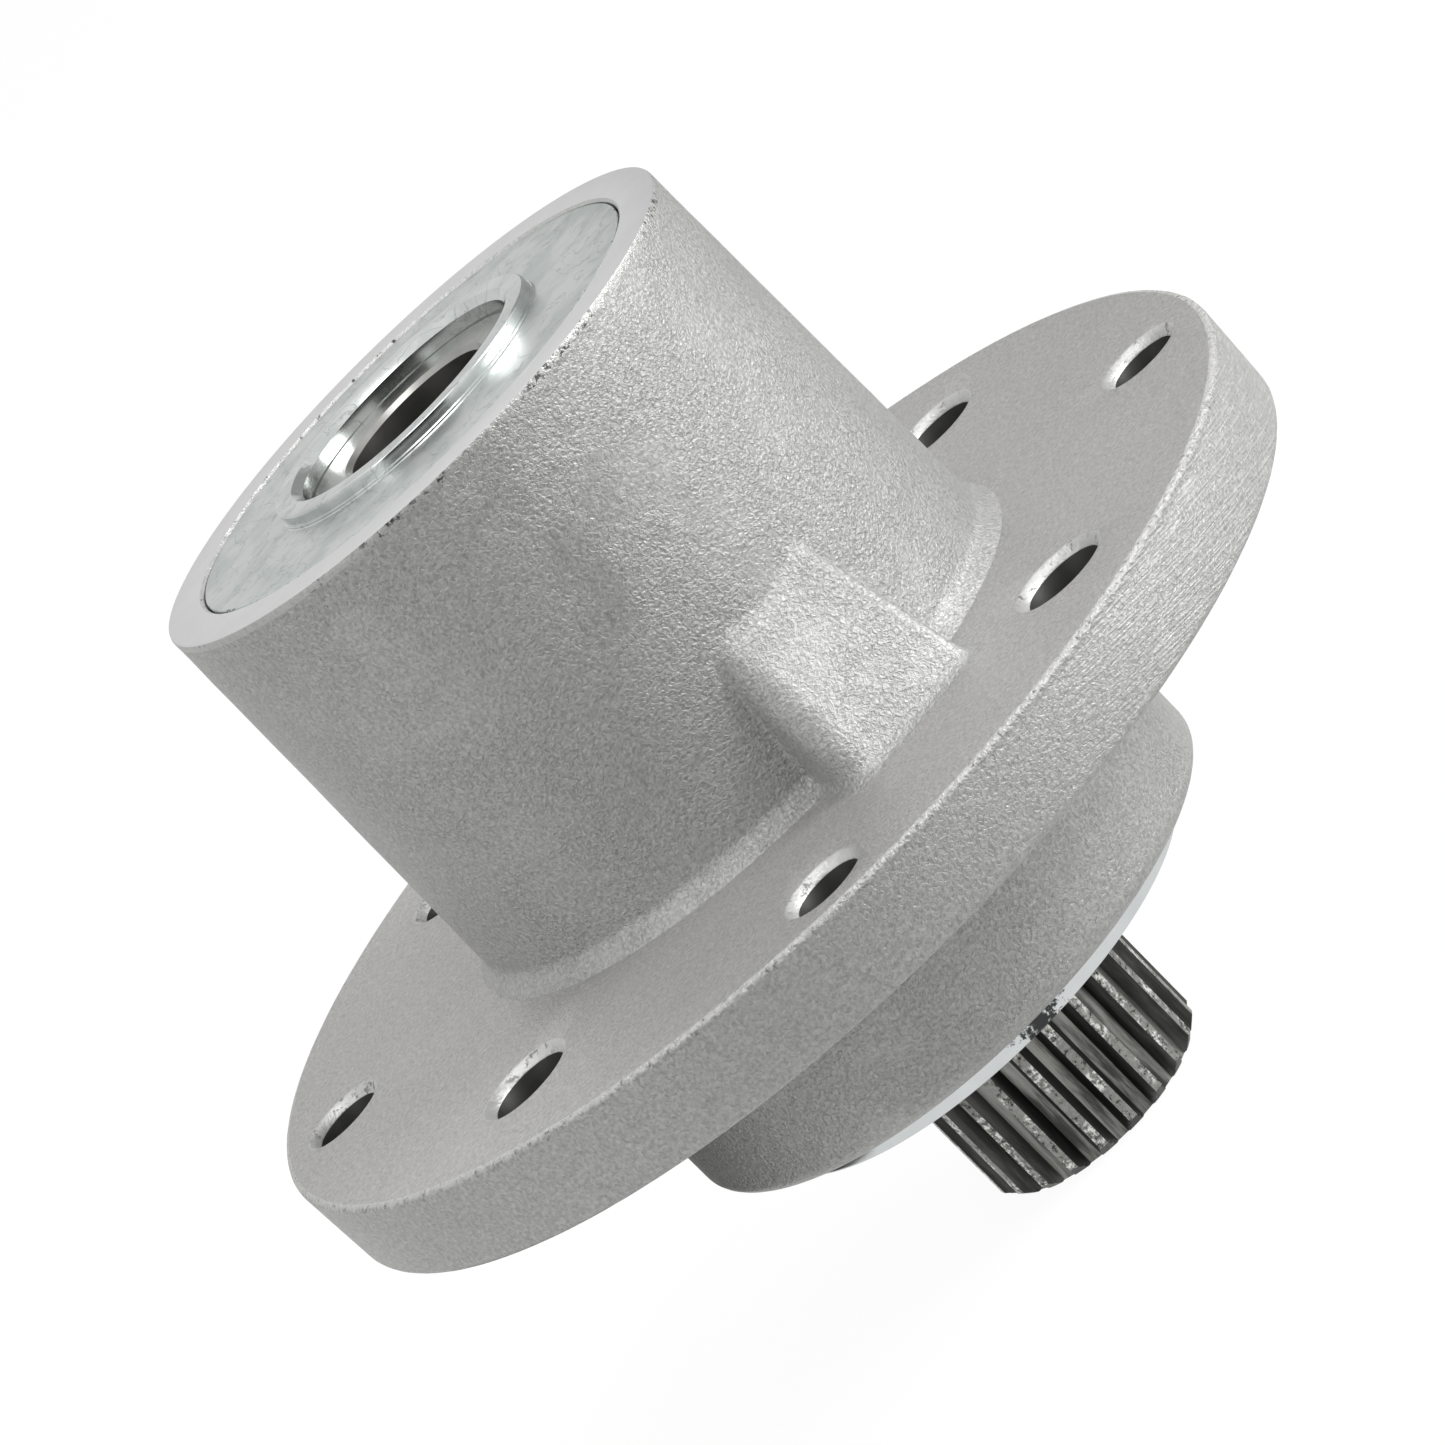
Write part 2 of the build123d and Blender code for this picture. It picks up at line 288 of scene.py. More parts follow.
def start_material(
    name: str, **values: float
) -> tuple[bpy.types.Material, bpy.types.NodeTree, Link]:
    """Start a material with one Principled shader.

    Args:
        name: what the material is.
        values: numbers for the shader's inputs, with _ for a space in their names.

    Returns:
        The material, its node tree and its Object coordinates.
    """
    material = bpy.data.materials.new(name)
    material.use_nodes = True
    tree = material.node_tree
    for key, value in values.items():
        tree.nodes["Principled BSDF"].inputs[key.replace("_", " ")].default_value = value
    return material, tree, add_node(tree, "TexCoord").outputs["Object"]


def finish_material(
    tree: bpy.types.NodeTree, base: Link, relief: list[tuple[Link, float]]
) -> None:
    """Link a base colour and one or more layers of relief to the tree's Principled shader.

    Args:
        tree: the node tree.
        base: the base colour.
        relief: each layer's height level and its depth in millimetres.
    """
    surface = tree.nodes["Principled BSDF"]
    tree.links.new(base, surface.inputs["Base Color"])
    normal = None
    for height, depth in relief:
        links = {"Height": height, "Normal": normal} if normal else {"Height": height}
        normal = add_node(tree, "Bump", {"Distance": depth * MM, "Strength": 1.0}, links)
    if normal:
        tree.links.new(normal.outputs["Normal"], surface.inputs["Normal"])


def around_axis(tree: bpy.types.NodeTree, place: Link) -> tuple[Link, Link, Link]:
    """Work out where a place lies about the spindle axis.

    Args:
        tree: the node tree.
        place: Object coordinates.

    Returns:
        Distance from the axis, angle about it in radians, and height, both lengths in metres.
    """
    x, y, height = add_node(tree, "SeparateXYZ", links={"Vector": place}).outputs
    level = add_node(tree, "CombineXYZ", links={0: x, 1: y})
    reach = add_node(tree, "VectorMath", {"operation": "LENGTH"}, {0: level})
    angle = add_node(tree, "Math", {"operation": "ARCTAN2"}, {0: y, 1: x})
    return reach.outputs["Value"], angle.outputs[0], height


# Settings that several finishes share: an eased change from one level to the next, the noise of
# a blasted grain, and the levels of that noise between its pits and its crests, across which the
# painted shade of the pits turns into the painted light of the crests.
EASED: Settings = {"interpolation_type": "SMOOTHSTEP"}
BLASTED_GRAIN: Settings = {"Detail": 3.0, "Roughness": 0.55, "Distortion": 0.6}
CREST_RANGE: Settings = {"From Min": 0.3, "From Max": 0.7}


@dataclass(frozen=True)
class CastSkin:
    """Shot-blasted sand casting in aluminium.

    The blasting leaves a leathery grain of crests and pits half a millimetre across. The grain
    gives the look: its pits are painted darker and its crests lighter, as painted shade and
    painted light, and it is flatter in patches.
    Under it the skin swells and sinks a little, as the sand did.
    """

    name: str
    # Colours of the pits and of the crests: painted shade in the pits, painted light on the
    # crests.
    pit: str = "9c9c9a"
    lit_crest: str = "c6c6c4"
    metallic: float = 0.55
    roughness: float = 0.48
    grain: float = 0.48
    grain_depth: float = 0.38
    swell: float = 2.6
    swell_depth: float = 0.12
    patch: float = 13.0
    flattest: float = 0.4

    def make(self) -> bpy.types.Material:
        """Build the material.

        Returns:
            The material.
        """
        material, tree, place = start_material(
            self.name, Metallic=self.metallic, Roughness=self.roughness
        )
        grain_settings = {"Scale": per_metre(self.grain), **BLASTED_GRAIN}
        grain = add_node(tree, "TexNoise", grain_settings, {"Vector": place})
        swell_settings = {"Scale": per_metre(self.swell), "Detail": 2.0}
        swell = add_node(tree, "TexNoise", swell_settings, {"Vector": place})
        patch_settings = {"Scale": per_metre(self.patch), "Detail": 3.0}
        patches = add_node(tree, "TexNoise", patch_settings, {"Vector": place})
        flat_range = {**EASED, "From Min": 0.36, "From Max": 0.56, "To Min": self.flattest}
        rough = add_node(tree, "MapRange", flat_range, {"Value": patches})
        height = add_node(tree, "Math", {"operation": "MULTIPLY"}, {0: grain, 1: rough})
        # The pits are painted darker and the crests lighter: painted shade and light in the grain.
        lit_crest = add_node(tree, "MapRange", CREST_RANGE, {"Value": grain})
        tone_ends = {"data_type": "RGBA", 6: colour(self.pit), 7: colour(self.lit_crest)}
        tone = add_node(tree, "Mix", tone_ends, {"Factor": lit_crest})
        relief = [(swell, self.swell_depth), (height, self.grain_depth)]
        finish_material(tree, tone.outputs[2], relief)
        return material


@dataclass(frozen=True)
class DressedRim:
    """Cast aluminium on the flange's rim, bright along its edge and partly ground.

    Along the edge a ragged light line, both metal bared by handling and a painted highlight of the
    round edge, is broken by nicks painted dark as shade in their dents. The grain has painted
    shade in its pits and painted light on its crests.
    The hand grinder has left fine slanting scratches over the blasted skin on the right. Its
    grit leaves scratches of 0.1 mm, too fine to show, so they are drawn 0.3 mm wide.
    """

    # Colours: painted shade in the pits, painted light on the crests, bare metal that is also the
    # painted highlight of the edge, and painted shade in the nicks.
    pit: str = "a0a09e"
    lit_crest: str = "c8c8c6"
    rubbed_and_highlight: str = "d2d2d0"
    nick_shade: str = "7a7a78"
    metallic: float = 0.55
    roughness: float = 0.5
    grain: float = 0.5
    grain_depth: float = 0.28
    scratch_wide: float = 0.3
    scratch_long: float = 6.5
    scratch_depth: float = 0.16
    slant: float = -10.0
    ground_from: float = 22.0
    ground_to: float = 100.0
    dent: float = 1.0
    dent_depth: float = 0.26
    ragged: float = 3.6

    def make(self, radius: float, edge: float) -> bpy.types.Material:
        """Build the material.

        Args:
            radius: radius of the rim.
            edge: height of its upper edge.

        Returns:
            The material.
        """
        material, tree, place = start_material(
            "dressed_cast_aluminium", Metallic=self.metallic, Roughness=self.roughness
        )
        grain_settings = {"Scale": per_metre(self.grain), **BLASTED_GRAIN}
        grain = add_node(tree, "TexNoise", grain_settings, {"Vector": place})
        _, angle, height = around_axis(tree, place)

        # The scratches are noise on the unrolled rim, drawn out along a slant.
        along = add_node(tree, "Math", {"operation": "MULTIPLY", 1: radius * MM}, {0: angle})
        flat = add_node(tree, "CombineXYZ", links={0: along, 1: height})
        slanted = {"rotation_type": "Z_AXIS", "Angle": math.radians(-self.slant)}
        turned = add_node(tree, "VectorRotate", slanted, {"Vector": flat})
        stretch = (self.scratch_wide / self.scratch_long, 1, 1)
        drawn = add_node(tree, "VectorMath", {"operation": "MULTIPLY", 1: stretch}, {0: turned})
        scratch_settings = {"Scale": per_metre(self.scratch_wide), "Detail": 2.0}
        scratches = add_node(tree, "TexNoise", scratch_settings, {"Vector": drawn})
        first, last = math.radians(self.ground_from - 90), math.radians(self.ground_to - 90)
        rise = {**EASED, "From Min": first - 0.2, "From Max": first + 0.3}
        fall = {**EASED, "From Min": last + 0.2, "From Max": last - 0.2}
        begun = add_node(tree, "MapRange", rise, {"Value": angle})
        ended = add_node(tree, "MapRange", fall, {"Value": angle})
        ground = add_node(tree, "Math", {"operation": "MULTIPLY"}, {0: begun, 1: ended})
        scored = add_node(tree, "Math", {"operation": "MULTIPLY"}, {0: scratches, 1: ground})

        # The skin's tone, painted darker in its pits and lighter on its crests as shade and light,
        # with the scratches in bright metal.
        lit_crest = add_node(tree, "MapRange", CREST_RANGE, {"Value": grain})
        tone_ends = {"data_type": "RGBA", 6: colour(self.pit), 7: colour(self.lit_crest)}
        tone = add_node(tree, "Mix", tone_ends, {"Factor": lit_crest}).outputs[2]
        bright_range = {**EASED, "From Min": 0.54, "From Max": 0.66, "To Max": 0.7}
        bright = add_node(tree, "MapRange", bright_range, {"Value": scored})
        bare_metal = {"data_type": "RGBA", 7: colour(self.rubbed_and_highlight)}
        scraped = add_node(tree, "Mix", bare_metal, {"Factor": bright, 6: tone})

        # The light line along the upper edge, bare metal and painted highlight both, with a ragged
        # lower border.
        dent_settings = {"Scale": per_metre(self.dent), "Detail": 5.0, "Roughness": 0.75}
        dents = add_node(tree, "TexNoise", dent_settings, {"Vector": place})
        uneven = add_node(tree, "Math", {"operation": "MULTIPLY", 1: self.ragged * MM}, {0: dents})
        ragged = add_node(tree, "Math", {"operation": "ADD"}, {0: height, 1: uneven})
        edge_range = {"From Min": (edge + 1.1) * MM, "From Max": (edge + 1.8) * MM}
        worn_and_highlit = add_node(tree, "MapRange", edge_range, {"Value": ragged})
        rubbed_and_highlight = add_node(tree, "Mix", bare_metal, {"Factor": worn_and_highlit, 6: scraped.outputs[2]})

        # The nicks, painted dark as shade in their dents, only in the last millimetre under the
        # edge.
        near_range = {"From Min": (edge - 1.3) * MM, "From Max": (edge - 0.6) * MM}
        near = add_node(tree, "MapRange", near_range, {"Value": height})
        nick_range = {**EASED, "From Min": 0.42, "From Max": 0.34}
        nicks = add_node(tree, "MapRange", nick_range, {"Value": dents})
        nicked = add_node(tree, "Math", {"operation": "MULTIPLY"}, {0: nicks, 1: near})
        dark = {"data_type": "RGBA", 7: colour(self.nick_shade)}
        base = add_node(tree, "Mix", dark, {"Factor": nicked, 6: rubbed_and_highlight.outputs[2]})
        chipped = add_node(tree, "Math", {"operation": "MULTIPLY"}, {0: dents, 1: near})
        relief = [(grain, self.grain_depth), (scored, self.scratch_depth)]
        relief += [(chipped, self.dent_depth)]
        finish_material(tree, base.outputs[2], relief)
        return material


@dataclass(frozen=True)
class ChippedEdge:
    """Sharp edge of bare metal, left by turning or drilling, with burrs and dents.

    It is lighter than the faces beside it, and small nicks in clumps break its line; their dark
    is painted shade in the dents.
    """

    name: str
    body: str = "c9c9c7"
    # Dark of the nicks: painted shade in their dents.
    nick_shade: str = "4a4a49"
    spread: float = 1.4
    least: float = 0.44
    relief: float = 0.4
    clump: float = 9.0

    def make(self) -> bpy.types.Material:
        """Build the material.

        Returns:
            The material.
        """
        material, tree, place = start_material(self.name, Metallic=0.7, Roughness=0.4)
        dent_settings = {"Scale": per_metre(self.spread), "Detail": 4.0, "Roughness": 0.7}
        dents = add_node(tree, "TexNoise", dent_settings, {"Vector": place})
        nick_range = {**EASED, "From Min": self.least, "From Max": self.least - 0.09}
        nicks = add_node(tree, "MapRange", nick_range, {"Value": dents})
        clump_settings = {"Scale": per_metre(self.clump), "Detail": 2.0}
        clumps = add_node(tree, "TexNoise", clump_settings, {"Vector": place})
        clump_range = {**EASED, "From Min": 0.47, "From Max": 0.58, "To Min": 0.15}
        clumped = add_node(tree, "MapRange", clump_range, {"Value": clumps})
        nicked = add_node(tree, "Math", {"operation": "MULTIPLY"}, {0: nicks, 1: clumped})
        tone_ends = {"data_type": "RGBA", 6: colour(self.body), 7: colour(self.nick_shade)}
        base = add_node(tree, "Mix", tone_ends, {"Factor": nicked})
        finish_material(tree, base.outputs[2], [(dents, self.relief)])
        return material


@dataclass(frozen=True)
class MachinedAluminium:
    """Cast aluminium, turned or drilled after casting.

    Satin and lighter than the blasted skin. The rings of a 0.1 mm feed would be too fine to
    show, so they are drawn 0.3 mm apart.
    """

    name: str = "machined_aluminium"
    body: str = "d8d8d8"
    patch: str = "cdcdcd"
    roughness: float = 0.42
    ring: float = 0.3
    ring_depth: float = 0.0012
    patch_size: float = 5.0
    patch_depth: float = 0.03

    def make(self) -> bpy.types.Material:
        """Build the material.

        Returns:
            The material.
        """
        material, tree, place = start_material(self.name, Metallic=0.7, Roughness=self.roughness)
        reach, _, height = around_axis(tree, place)
        travel = add_node(tree, "Math", {"operation": "ADD"}, {0: reach, 1: height})
        feed = {"operation": "MULTIPLY", 1: math.tau * per_metre(self.ring)}
        phase = add_node(tree, "Math", feed, {0: travel})
        rings = add_node(tree, "Math", {"operation": "SINE"}, {0: phase})
        patch_settings = {"Scale": per_metre(self.patch_size), "Detail": 3.0}
        patches = add_node(tree, "TexNoise", patch_settings, {"Vector": place})
        tone_ends = {"data_type": "RGBA", 6: colour(self.patch), 7: colour(self.body)}
        base = add_node(tree, "Mix", tone_ends, {"Factor": patches})
        relief = [(rings, self.ring_depth), (patches, self.patch_depth)]
        finish_material(tree, base.outputs[2], relief)
        return material


@dataclass(frozen=True)
class ZincPlate:
    """Zinc plate on turned steel.

    The plate is blue-grey with cloudy greenish patches and a few thin streaks from rinsing.
    """

    name: str
    roughness: float
    body: str = "cdd0ce"
    cloud: str = "bac0be"
    streak: str = "98a09e"
    ripple_depth: float = 0.006
    cloud_size: float = 6.0
    vein_size: float = 9.0
    ripple_size: float = 0.9

    def make(self) -> bpy.types.Material:
        """Build the material.

        Returns:
            The material.
        """
        material, tree, place = start_material(
            self.name, Metallic=1.0, Roughness=self.roughness
        )
        cloud_settings = {"Scale": per_metre(self.cloud_size), "Detail": 5.0, "Roughness": 0.6}
        clouds = add_node(tree, "TexNoise", cloud_settings, {"Vector": place})
        cloud_range = {**EASED, "From Min": 0.36, "From Max": 0.62}
        cloudy = add_node(tree, "MapRange", cloud_range, {"Value": clouds})
        tone_ends = {"data_type": "RGBA", 6: colour(self.cloud), 7: colour(self.body)}
        tone = add_node(tree, "Mix", tone_ends, {"Factor": cloudy}).outputs[2]

        # A streak runs where a second noise passes through its middle level.
        vein_settings = {"Scale": per_metre(self.vein_size), "Detail": 4.0, "Distortion": 1.5}
        veins = add_node(tree, "TexNoise", vein_settings, {"Vector": place})
        middle = add_node(tree, "Math", {"operation": "SUBTRACT", 1: 0.5}, {0: veins})
        apart = add_node(tree, "Math", {"operation": "ABSOLUTE"}, {0: middle})
        vein_range = {**EASED, "From Min": 0.018, "From Max": 0.0, "To Max": 0.6}
        veined = add_node(tree, "MapRange", vein_range, {"Value": apart})
        streak = {"data_type": "RGBA", 7: colour(self.streak)}
        base = add_node(tree, "Mix", streak, {"Factor": veined, 6: tone})
        ripple_settings = {"Scale": per_metre(self.ripple_size), "Detail": 2.0}
        ripple = add_node(tree, "TexNoise", ripple_settings, {"Vector": place})
        finish_material(tree, base.outputs[2], [(ripple, self.ripple_depth)])
        return material


@dataclass(frozen=True)
class PaintedReflectionPlate:
    """Bright zinc plate on turned steel, with a dark reflection painted at one spot.

    It mirrors its surroundings, and the painted reflection breaks up into specks towards its
    border.
    """

    body: str = "d3d5d5"
    cloud: str = "bcc0c0"
    painted_reflection: str = "3b3d3d"
    roughness: float = 0.14
    azimuth: float = 7.0
    half_width: float = 5.0
    inner_radius: float = 33.0
    cloud_size: float = 5.0
    speck: float = 0.9
    speck_depth: float = 0.004

    def make(self) -> bpy.types.Material:
        """Build the material.

        Returns:
            The material.
        """
        material, tree, place = start_material(
            "zinc_plate_painted_reflection", Metallic=1.0, Roughness=self.roughness
        )
        cloud_settings = {"Scale": per_metre(self.cloud_size), "Detail": 4.0}
        clouds = add_node(tree, "TexNoise", cloud_settings, {"Vector": place})
        tone_ends = {"data_type": "RGBA", 6: colour(self.cloud), 7: colour(self.body)}
        tone = add_node(tree, "Mix", tone_ends, {"Factor": clouds}).outputs[2]

        # The painted reflection is a stretch of angle, whose border a fine noise breaks up.
        out, angle, _ = around_axis(tree, place)
        from_spot = {"operation": "SUBTRACT", 1: math.radians(self.azimuth - 90)}
        aside = add_node(tree, "Math", from_spot, {0: angle})
        away = add_node(tree, "Math", {"operation": "ABSOLUTE"}, {0: aside})
        speck_settings = {"Scale": per_metre(self.speck), "Detail": 4.0, "Roughness": 0.7}
        specks = add_node(tree, "TexNoise", speck_settings, {"Vector": place})
        widen = {"operation": "MULTIPLY_ADD", 1: 0.5}
        widened = add_node(tree, "Math", widen, {0: specks, 2: away})
        reach = math.radians(self.half_width) + 0.27
        spot_range = {**EASED, "From Min": reach, "From Max": reach - 0.06}
        spot = add_node(tree, "MapRange", spot_range, {"Value": widened})

        # The painted reflection stays at the disc's rim and leaves its flat faces plain.
        inner = self.inner_radius
        rim_range = {"From Min": inner * MM, "From Max": (inner + 1.5) * MM}
        near_rim = add_node(tree, "MapRange", rim_range, {"Value": out})
        rim_spot = add_node(tree, "Math", {"operation": "MULTIPLY"}, {0: spot, 1: near_rim})
        # Dark colour of the painted reflection.
        dark = {"data_type": "RGBA", 7: colour(self.painted_reflection)}
        base = add_node(tree, "Mix", dark, {"Factor": rim_spot, 6: tone})
        finish_material(tree, base.outputs[2], [(specks, self.speck_depth)])
        return material


@dataclass(frozen=True)
class TurnedSteel:
    """Medium-carbon shaft steel, turned.

    A warm, half-bright grey. Rings from the tool break up its reflections on the bore and the
    end face. Their 0.15 mm feed would be too fine to show, so they are drawn 0.4 mm apart.
    """

    body: str = "b2b1ae"
    shade: str = "949390"
    roughness: float = 0.27
    ring: float = 0.4
    ring_depth: float = 0.001
    patch_size: float = 3.0

    def make(self) -> bpy.types.Material:
        """Build the material.

        Returns:
            The material.
        """
        material, tree, place = start_material(
            "turned_shaft_steel", Metallic=1.0, Roughness=self.roughness
        )
        reach, _, height = around_axis(tree, place)
        travel = add_node(tree, "Math", {"operation": "ADD"}, {0: reach, 1: height})
        feed = {"operation": "MULTIPLY", 1: math.tau * per_metre(self.ring)}
        phase = add_node(tree, "Math", feed, {0: travel})
        rings = add_node(tree, "Math", {"operation": "SINE"}, {0: phase})
        patch_settings = {"Scale": per_metre(self.patch_size), "Detail": 4.0}
        patches = add_node(tree, "TexNoise", patch_settings, {"Vector": place})
        tone_ends = {"data_type": "RGBA", 6: colour(self.shade), 7: colour(self.body)}
        base = add_node(tree, "Mix", tone_ends, {"Factor": patches})
        finish_material(tree, base.outputs[2], [(rings, self.ring_depth)])
        return material


@dataclass(frozen=True)
class HobbedSteel:
    """Shaft steel as the hob left it, on the flanks and floors of the spline.

    Dark under a film of oil, which is thinner in stretches, with faint marks along the teeth.
    """

    name: str
    body: str
    shade: str
    roughness: float
    mark: float = 0.8
    mark_depth: float = 0.035
    film: float = 2.8
    stretch: float = 0.12

    def make(self) -> bpy.types.Material:
        """Build the material.

        Returns:
            The material.
        """
        material, tree, place = start_material(
            self.name, Metallic=1.0, Roughness=self.roughness
        )
        drawn = {"Scale": (1, 1, self.stretch)}
        lengthwise = add_node(tree, "Mapping", drawn, {"Vector": place})
        mark_settings = {"Scale": per_metre(self.mark), "Detail": 3.0}
        marks = add_node(tree, "TexNoise", mark_settings, {"Vector": lengthwise})
        film_settings = {"Scale": per_metre(self.film), "Detail": 5.0, "Roughness": 0.65}
        films = add_node(tree, "TexNoise", film_settings, {"Vector": lengthwise})
        film_range = {**EASED, "From Min": 0.38, "From Max": 0.6}
        dry = add_node(tree, "MapRange", film_range, {"Value": films})
        tone_ends = {"data_type": "RGBA", 6: colour(self.shade), 7: colour(self.body)}
        base = add_node(tree, "Mix", tone_ends, {"Factor": dry})
        finish_material(tree, base.outputs[2], [(marks, self.mark_depth)])
        return material


@dataclass(frozen=True)
class PittedLand:
    """Shaft steel on the tops of the spline teeth, pitted and scraped by its fitting.

    Grey, with dark pits under a millimetre across and groups of bright crumbs.
    """

    body: str = "868682"
    pit: str = "424240"
    crumb: str = "dededa"
    pit_size: float = 0.75
    pit_depth: float = 0.1
    group: float = 3.2

    def make(self) -> bpy.types.Material:
        """Build the material.

        Returns:
            The material.
        """
        material, tree, place = start_material(
            "pitted_shaft_steel", Metallic=0.85, Roughness=0.38
        )
        spot_settings = {"Scale": per_metre(self.pit_size), "Detail": 4.0, "Roughness": 0.7}
        spots = add_node(tree, "TexNoise", spot_settings, {"Vector": place})
        pit_range = {**EASED, "From Min": 0.36, "From Max": 0.44}
        clear = add_node(tree, "MapRange", pit_range, {"Value": spots})
        tone_ends = {"data_type": "RGBA", 6: colour(self.pit), 7: colour(self.body)}
        tone = add_node(tree, "Mix", tone_ends, {"Factor": clear})
        crumb_range = {**EASED, "From Min": 0.5, "From Max": 0.56}
        bare = add_node(tree, "MapRange", crumb_range, {"Value": spots})
        group_settings = {"Scale": per_metre(self.group), "Detail": 2.0}
        groups = add_node(tree, "TexNoise", group_settings, {"Vector": place})
        group_range = {**EASED, "From Min": 0.46, "From Max": 0.58, "To Min": 0.1}
        grouped = add_node(tree, "MapRange", group_range, {"Value": groups})
        crumbs = add_node(tree, "Math", {"operation": "MULTIPLY"}, {0: bare, 1: grouped})
        bright = {"data_type": "RGBA", 7: colour(self.crumb)}
        base = add_node(tree, "Mix", bright, {"Factor": crumbs, 6: tone.outputs[2]})
        finish_material(tree, base.outputs[2], [(clear, self.pit_depth)])
        return material


@dataclass(frozen=True)
class InnerMetal:
    """Steel of an inner part: one tone, with a faint grain of the size that its making leaves."""

    name: str
    body: str
    shade: str
    roughness: float
    grain: float
    grain_depth: float = 0.003

    def make(self) -> bpy.types.Material:
        """Build the material.

        Returns:
            The material.
        """
        material, tree, place = start_material(
            self.name, Metallic=1.0, Roughness=self.roughness
        )
        grain_settings = {"Scale": per_metre(self.grain), "Detail": 3.0}
        grain = add_node(tree, "TexNoise", grain_settings, {"Vector": place})
        tone_ends = {"data_type": "RGBA", 6: colour(self.shade), 7: colour(self.body)}
        base = add_node(tree, "Mix", tone_ends, {"Factor": grain})
        finish_material(tree, base.outputs[2], [(grain, self.grain_depth)])
        return material


@dataclass(frozen=True)
class SealRubber:
    """Nitrile rubber of the bearing seals, moulded: matte black with a fine mould texture."""

    body: str = "1c1c1c"
    shade: str = "262626"
    texture: float = 0.5
    texture_depth: float = 0.01

    def make(self) -> bpy.types.Material:
        """Build the material.

        Returns:
            The material.
        """
        material, tree, place = start_material("moulded_nitrile_rubber", Roughness=0.6, IOR=1.52)
        texture_settings = {"Scale": per_metre(self.texture), "Detail": 2.0}
        texture = add_node(tree, "TexNoise", texture_settings, {"Vector": place})
        tone_ends = {"data_type": "RGBA", 6: colour(self.shade), 7: colour(self.body)}
        base = add_node(tree, "Mix", tone_ends, {"Factor": texture})
        finish_material(tree, base.outputs[2], [(texture, self.texture_depth)])
        return material


# Pieces


class Body(Enum):
    """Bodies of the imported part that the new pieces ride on."""

    HOUSING = "housing"
    SHAFT = "shaft"


class CastingSlot(Enum):
    """Finishes of the casting, in the order of its slots."""

    SKIN = 0
    TURNED = 1
    FACE = 2
    RIM = 3
    BURR = 4
    # Painted shade on the walls of the bolt holes.
    DRILLED = 5
    LIP = 6
    SUNK = 7


class ShieldSlot(Enum):
    """Finishes of the upper shield, in the order of its slots."""

    DISC = 0
    COLLAR = 1
    EDGE = 2


class ShaftSlot(Enum):
    """Finishes of the shaft, in the order of its slots."""

    TURNED = 0
    FLANK = 1
    LAND = 2
    ROOT = 3


def settle(piece: bpy.types.Object, node: str, body: Body) -> None:
    """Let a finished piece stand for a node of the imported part.

    Args:
        piece: the finished object.
        node: the node that it replaces.
        body: the body that it rides on.
    """
    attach(piece, body.value)
    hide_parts(node)
    LOG.info("%s: %d faces, replaces %s", piece.name, len(piece.data.polygons), node)


def dress(piece: bpy.types.Object, materials: list[bpy.types.Material]) -> None:
    """Give a piece its materials, in the order of their slots.

    Args:
        piece: the object.
        materials: one material for each slot.
    """
    piece.data.materials.clear()
    for material in materials:
        piece.data.materials.append(material)


def smooth_least(first: float, second: float, blend: float) -> float:
    """Smaller of two lengths, rounded off where they are within blend of each other."""
    share = min(max(0.5 + 0.5 * (second - first) / blend, 0.0), 1.0)
    return second + (first - second) * share - blend * share * (1 - share)


def ease(level: float, low: float, high: float) -> float:
    """Smooth step from 0 at low to 1 at high."""
    share = min(max((level - low) / (high - low), 0.0), 1.0)
    return share * share * (3 - 2 * share)


@dataclass
class BoltHoles:
    """One circle of four through holes in the flange, countersunk from above."""

    radius: float
    circle: float
    first_angle: float
    count: int = 4
    chamfer: float = 1.1
    soft: float = 0.12
    lower_break: float = 0.25
    clear: float = 3.0
    steps: int = 72

    def cutters(self, thick: float) -> list[bpy.types.Object]:
        """Make a cutter for each hole.

        Args:
            thick: thickness of the flange.

        Returns:
            The cutters, closed and in their places.
        """
        clear, soft = self.clear, self.soft
        wide, low = self.radius + self.chamfer, self.radius + self.lower_break
        sunk = thick - self.chamfer
        outline = [(low + clear, -clear), (low, 0.0), (self.radius, self.lower_break)]
        outline += [(self.radius, sunk - soft), (self.radius + soft / 2, sunk + 0.02)]
        outline += [(wide - soft, thick - soft), (wide + 0.16, thick + 0.02)]
        outline += [(wide + 0.2, thick + clear), (0, thick + clear)]
        made = []
        for k in range(self.count):
            cutter = turn("bolt_hole_cutter", outline, self.steps)
            close_with_pole(cutter, 0.0)
            angle = math.radians(self.first_angle + 360 * k / self.count)
            place = Vector((math.cos(angle), math.sin(angle), 0)) * self.circle * MM
            cutter.data.transform(Matrix.Translation(place))
            made.append(cutter)
        return made


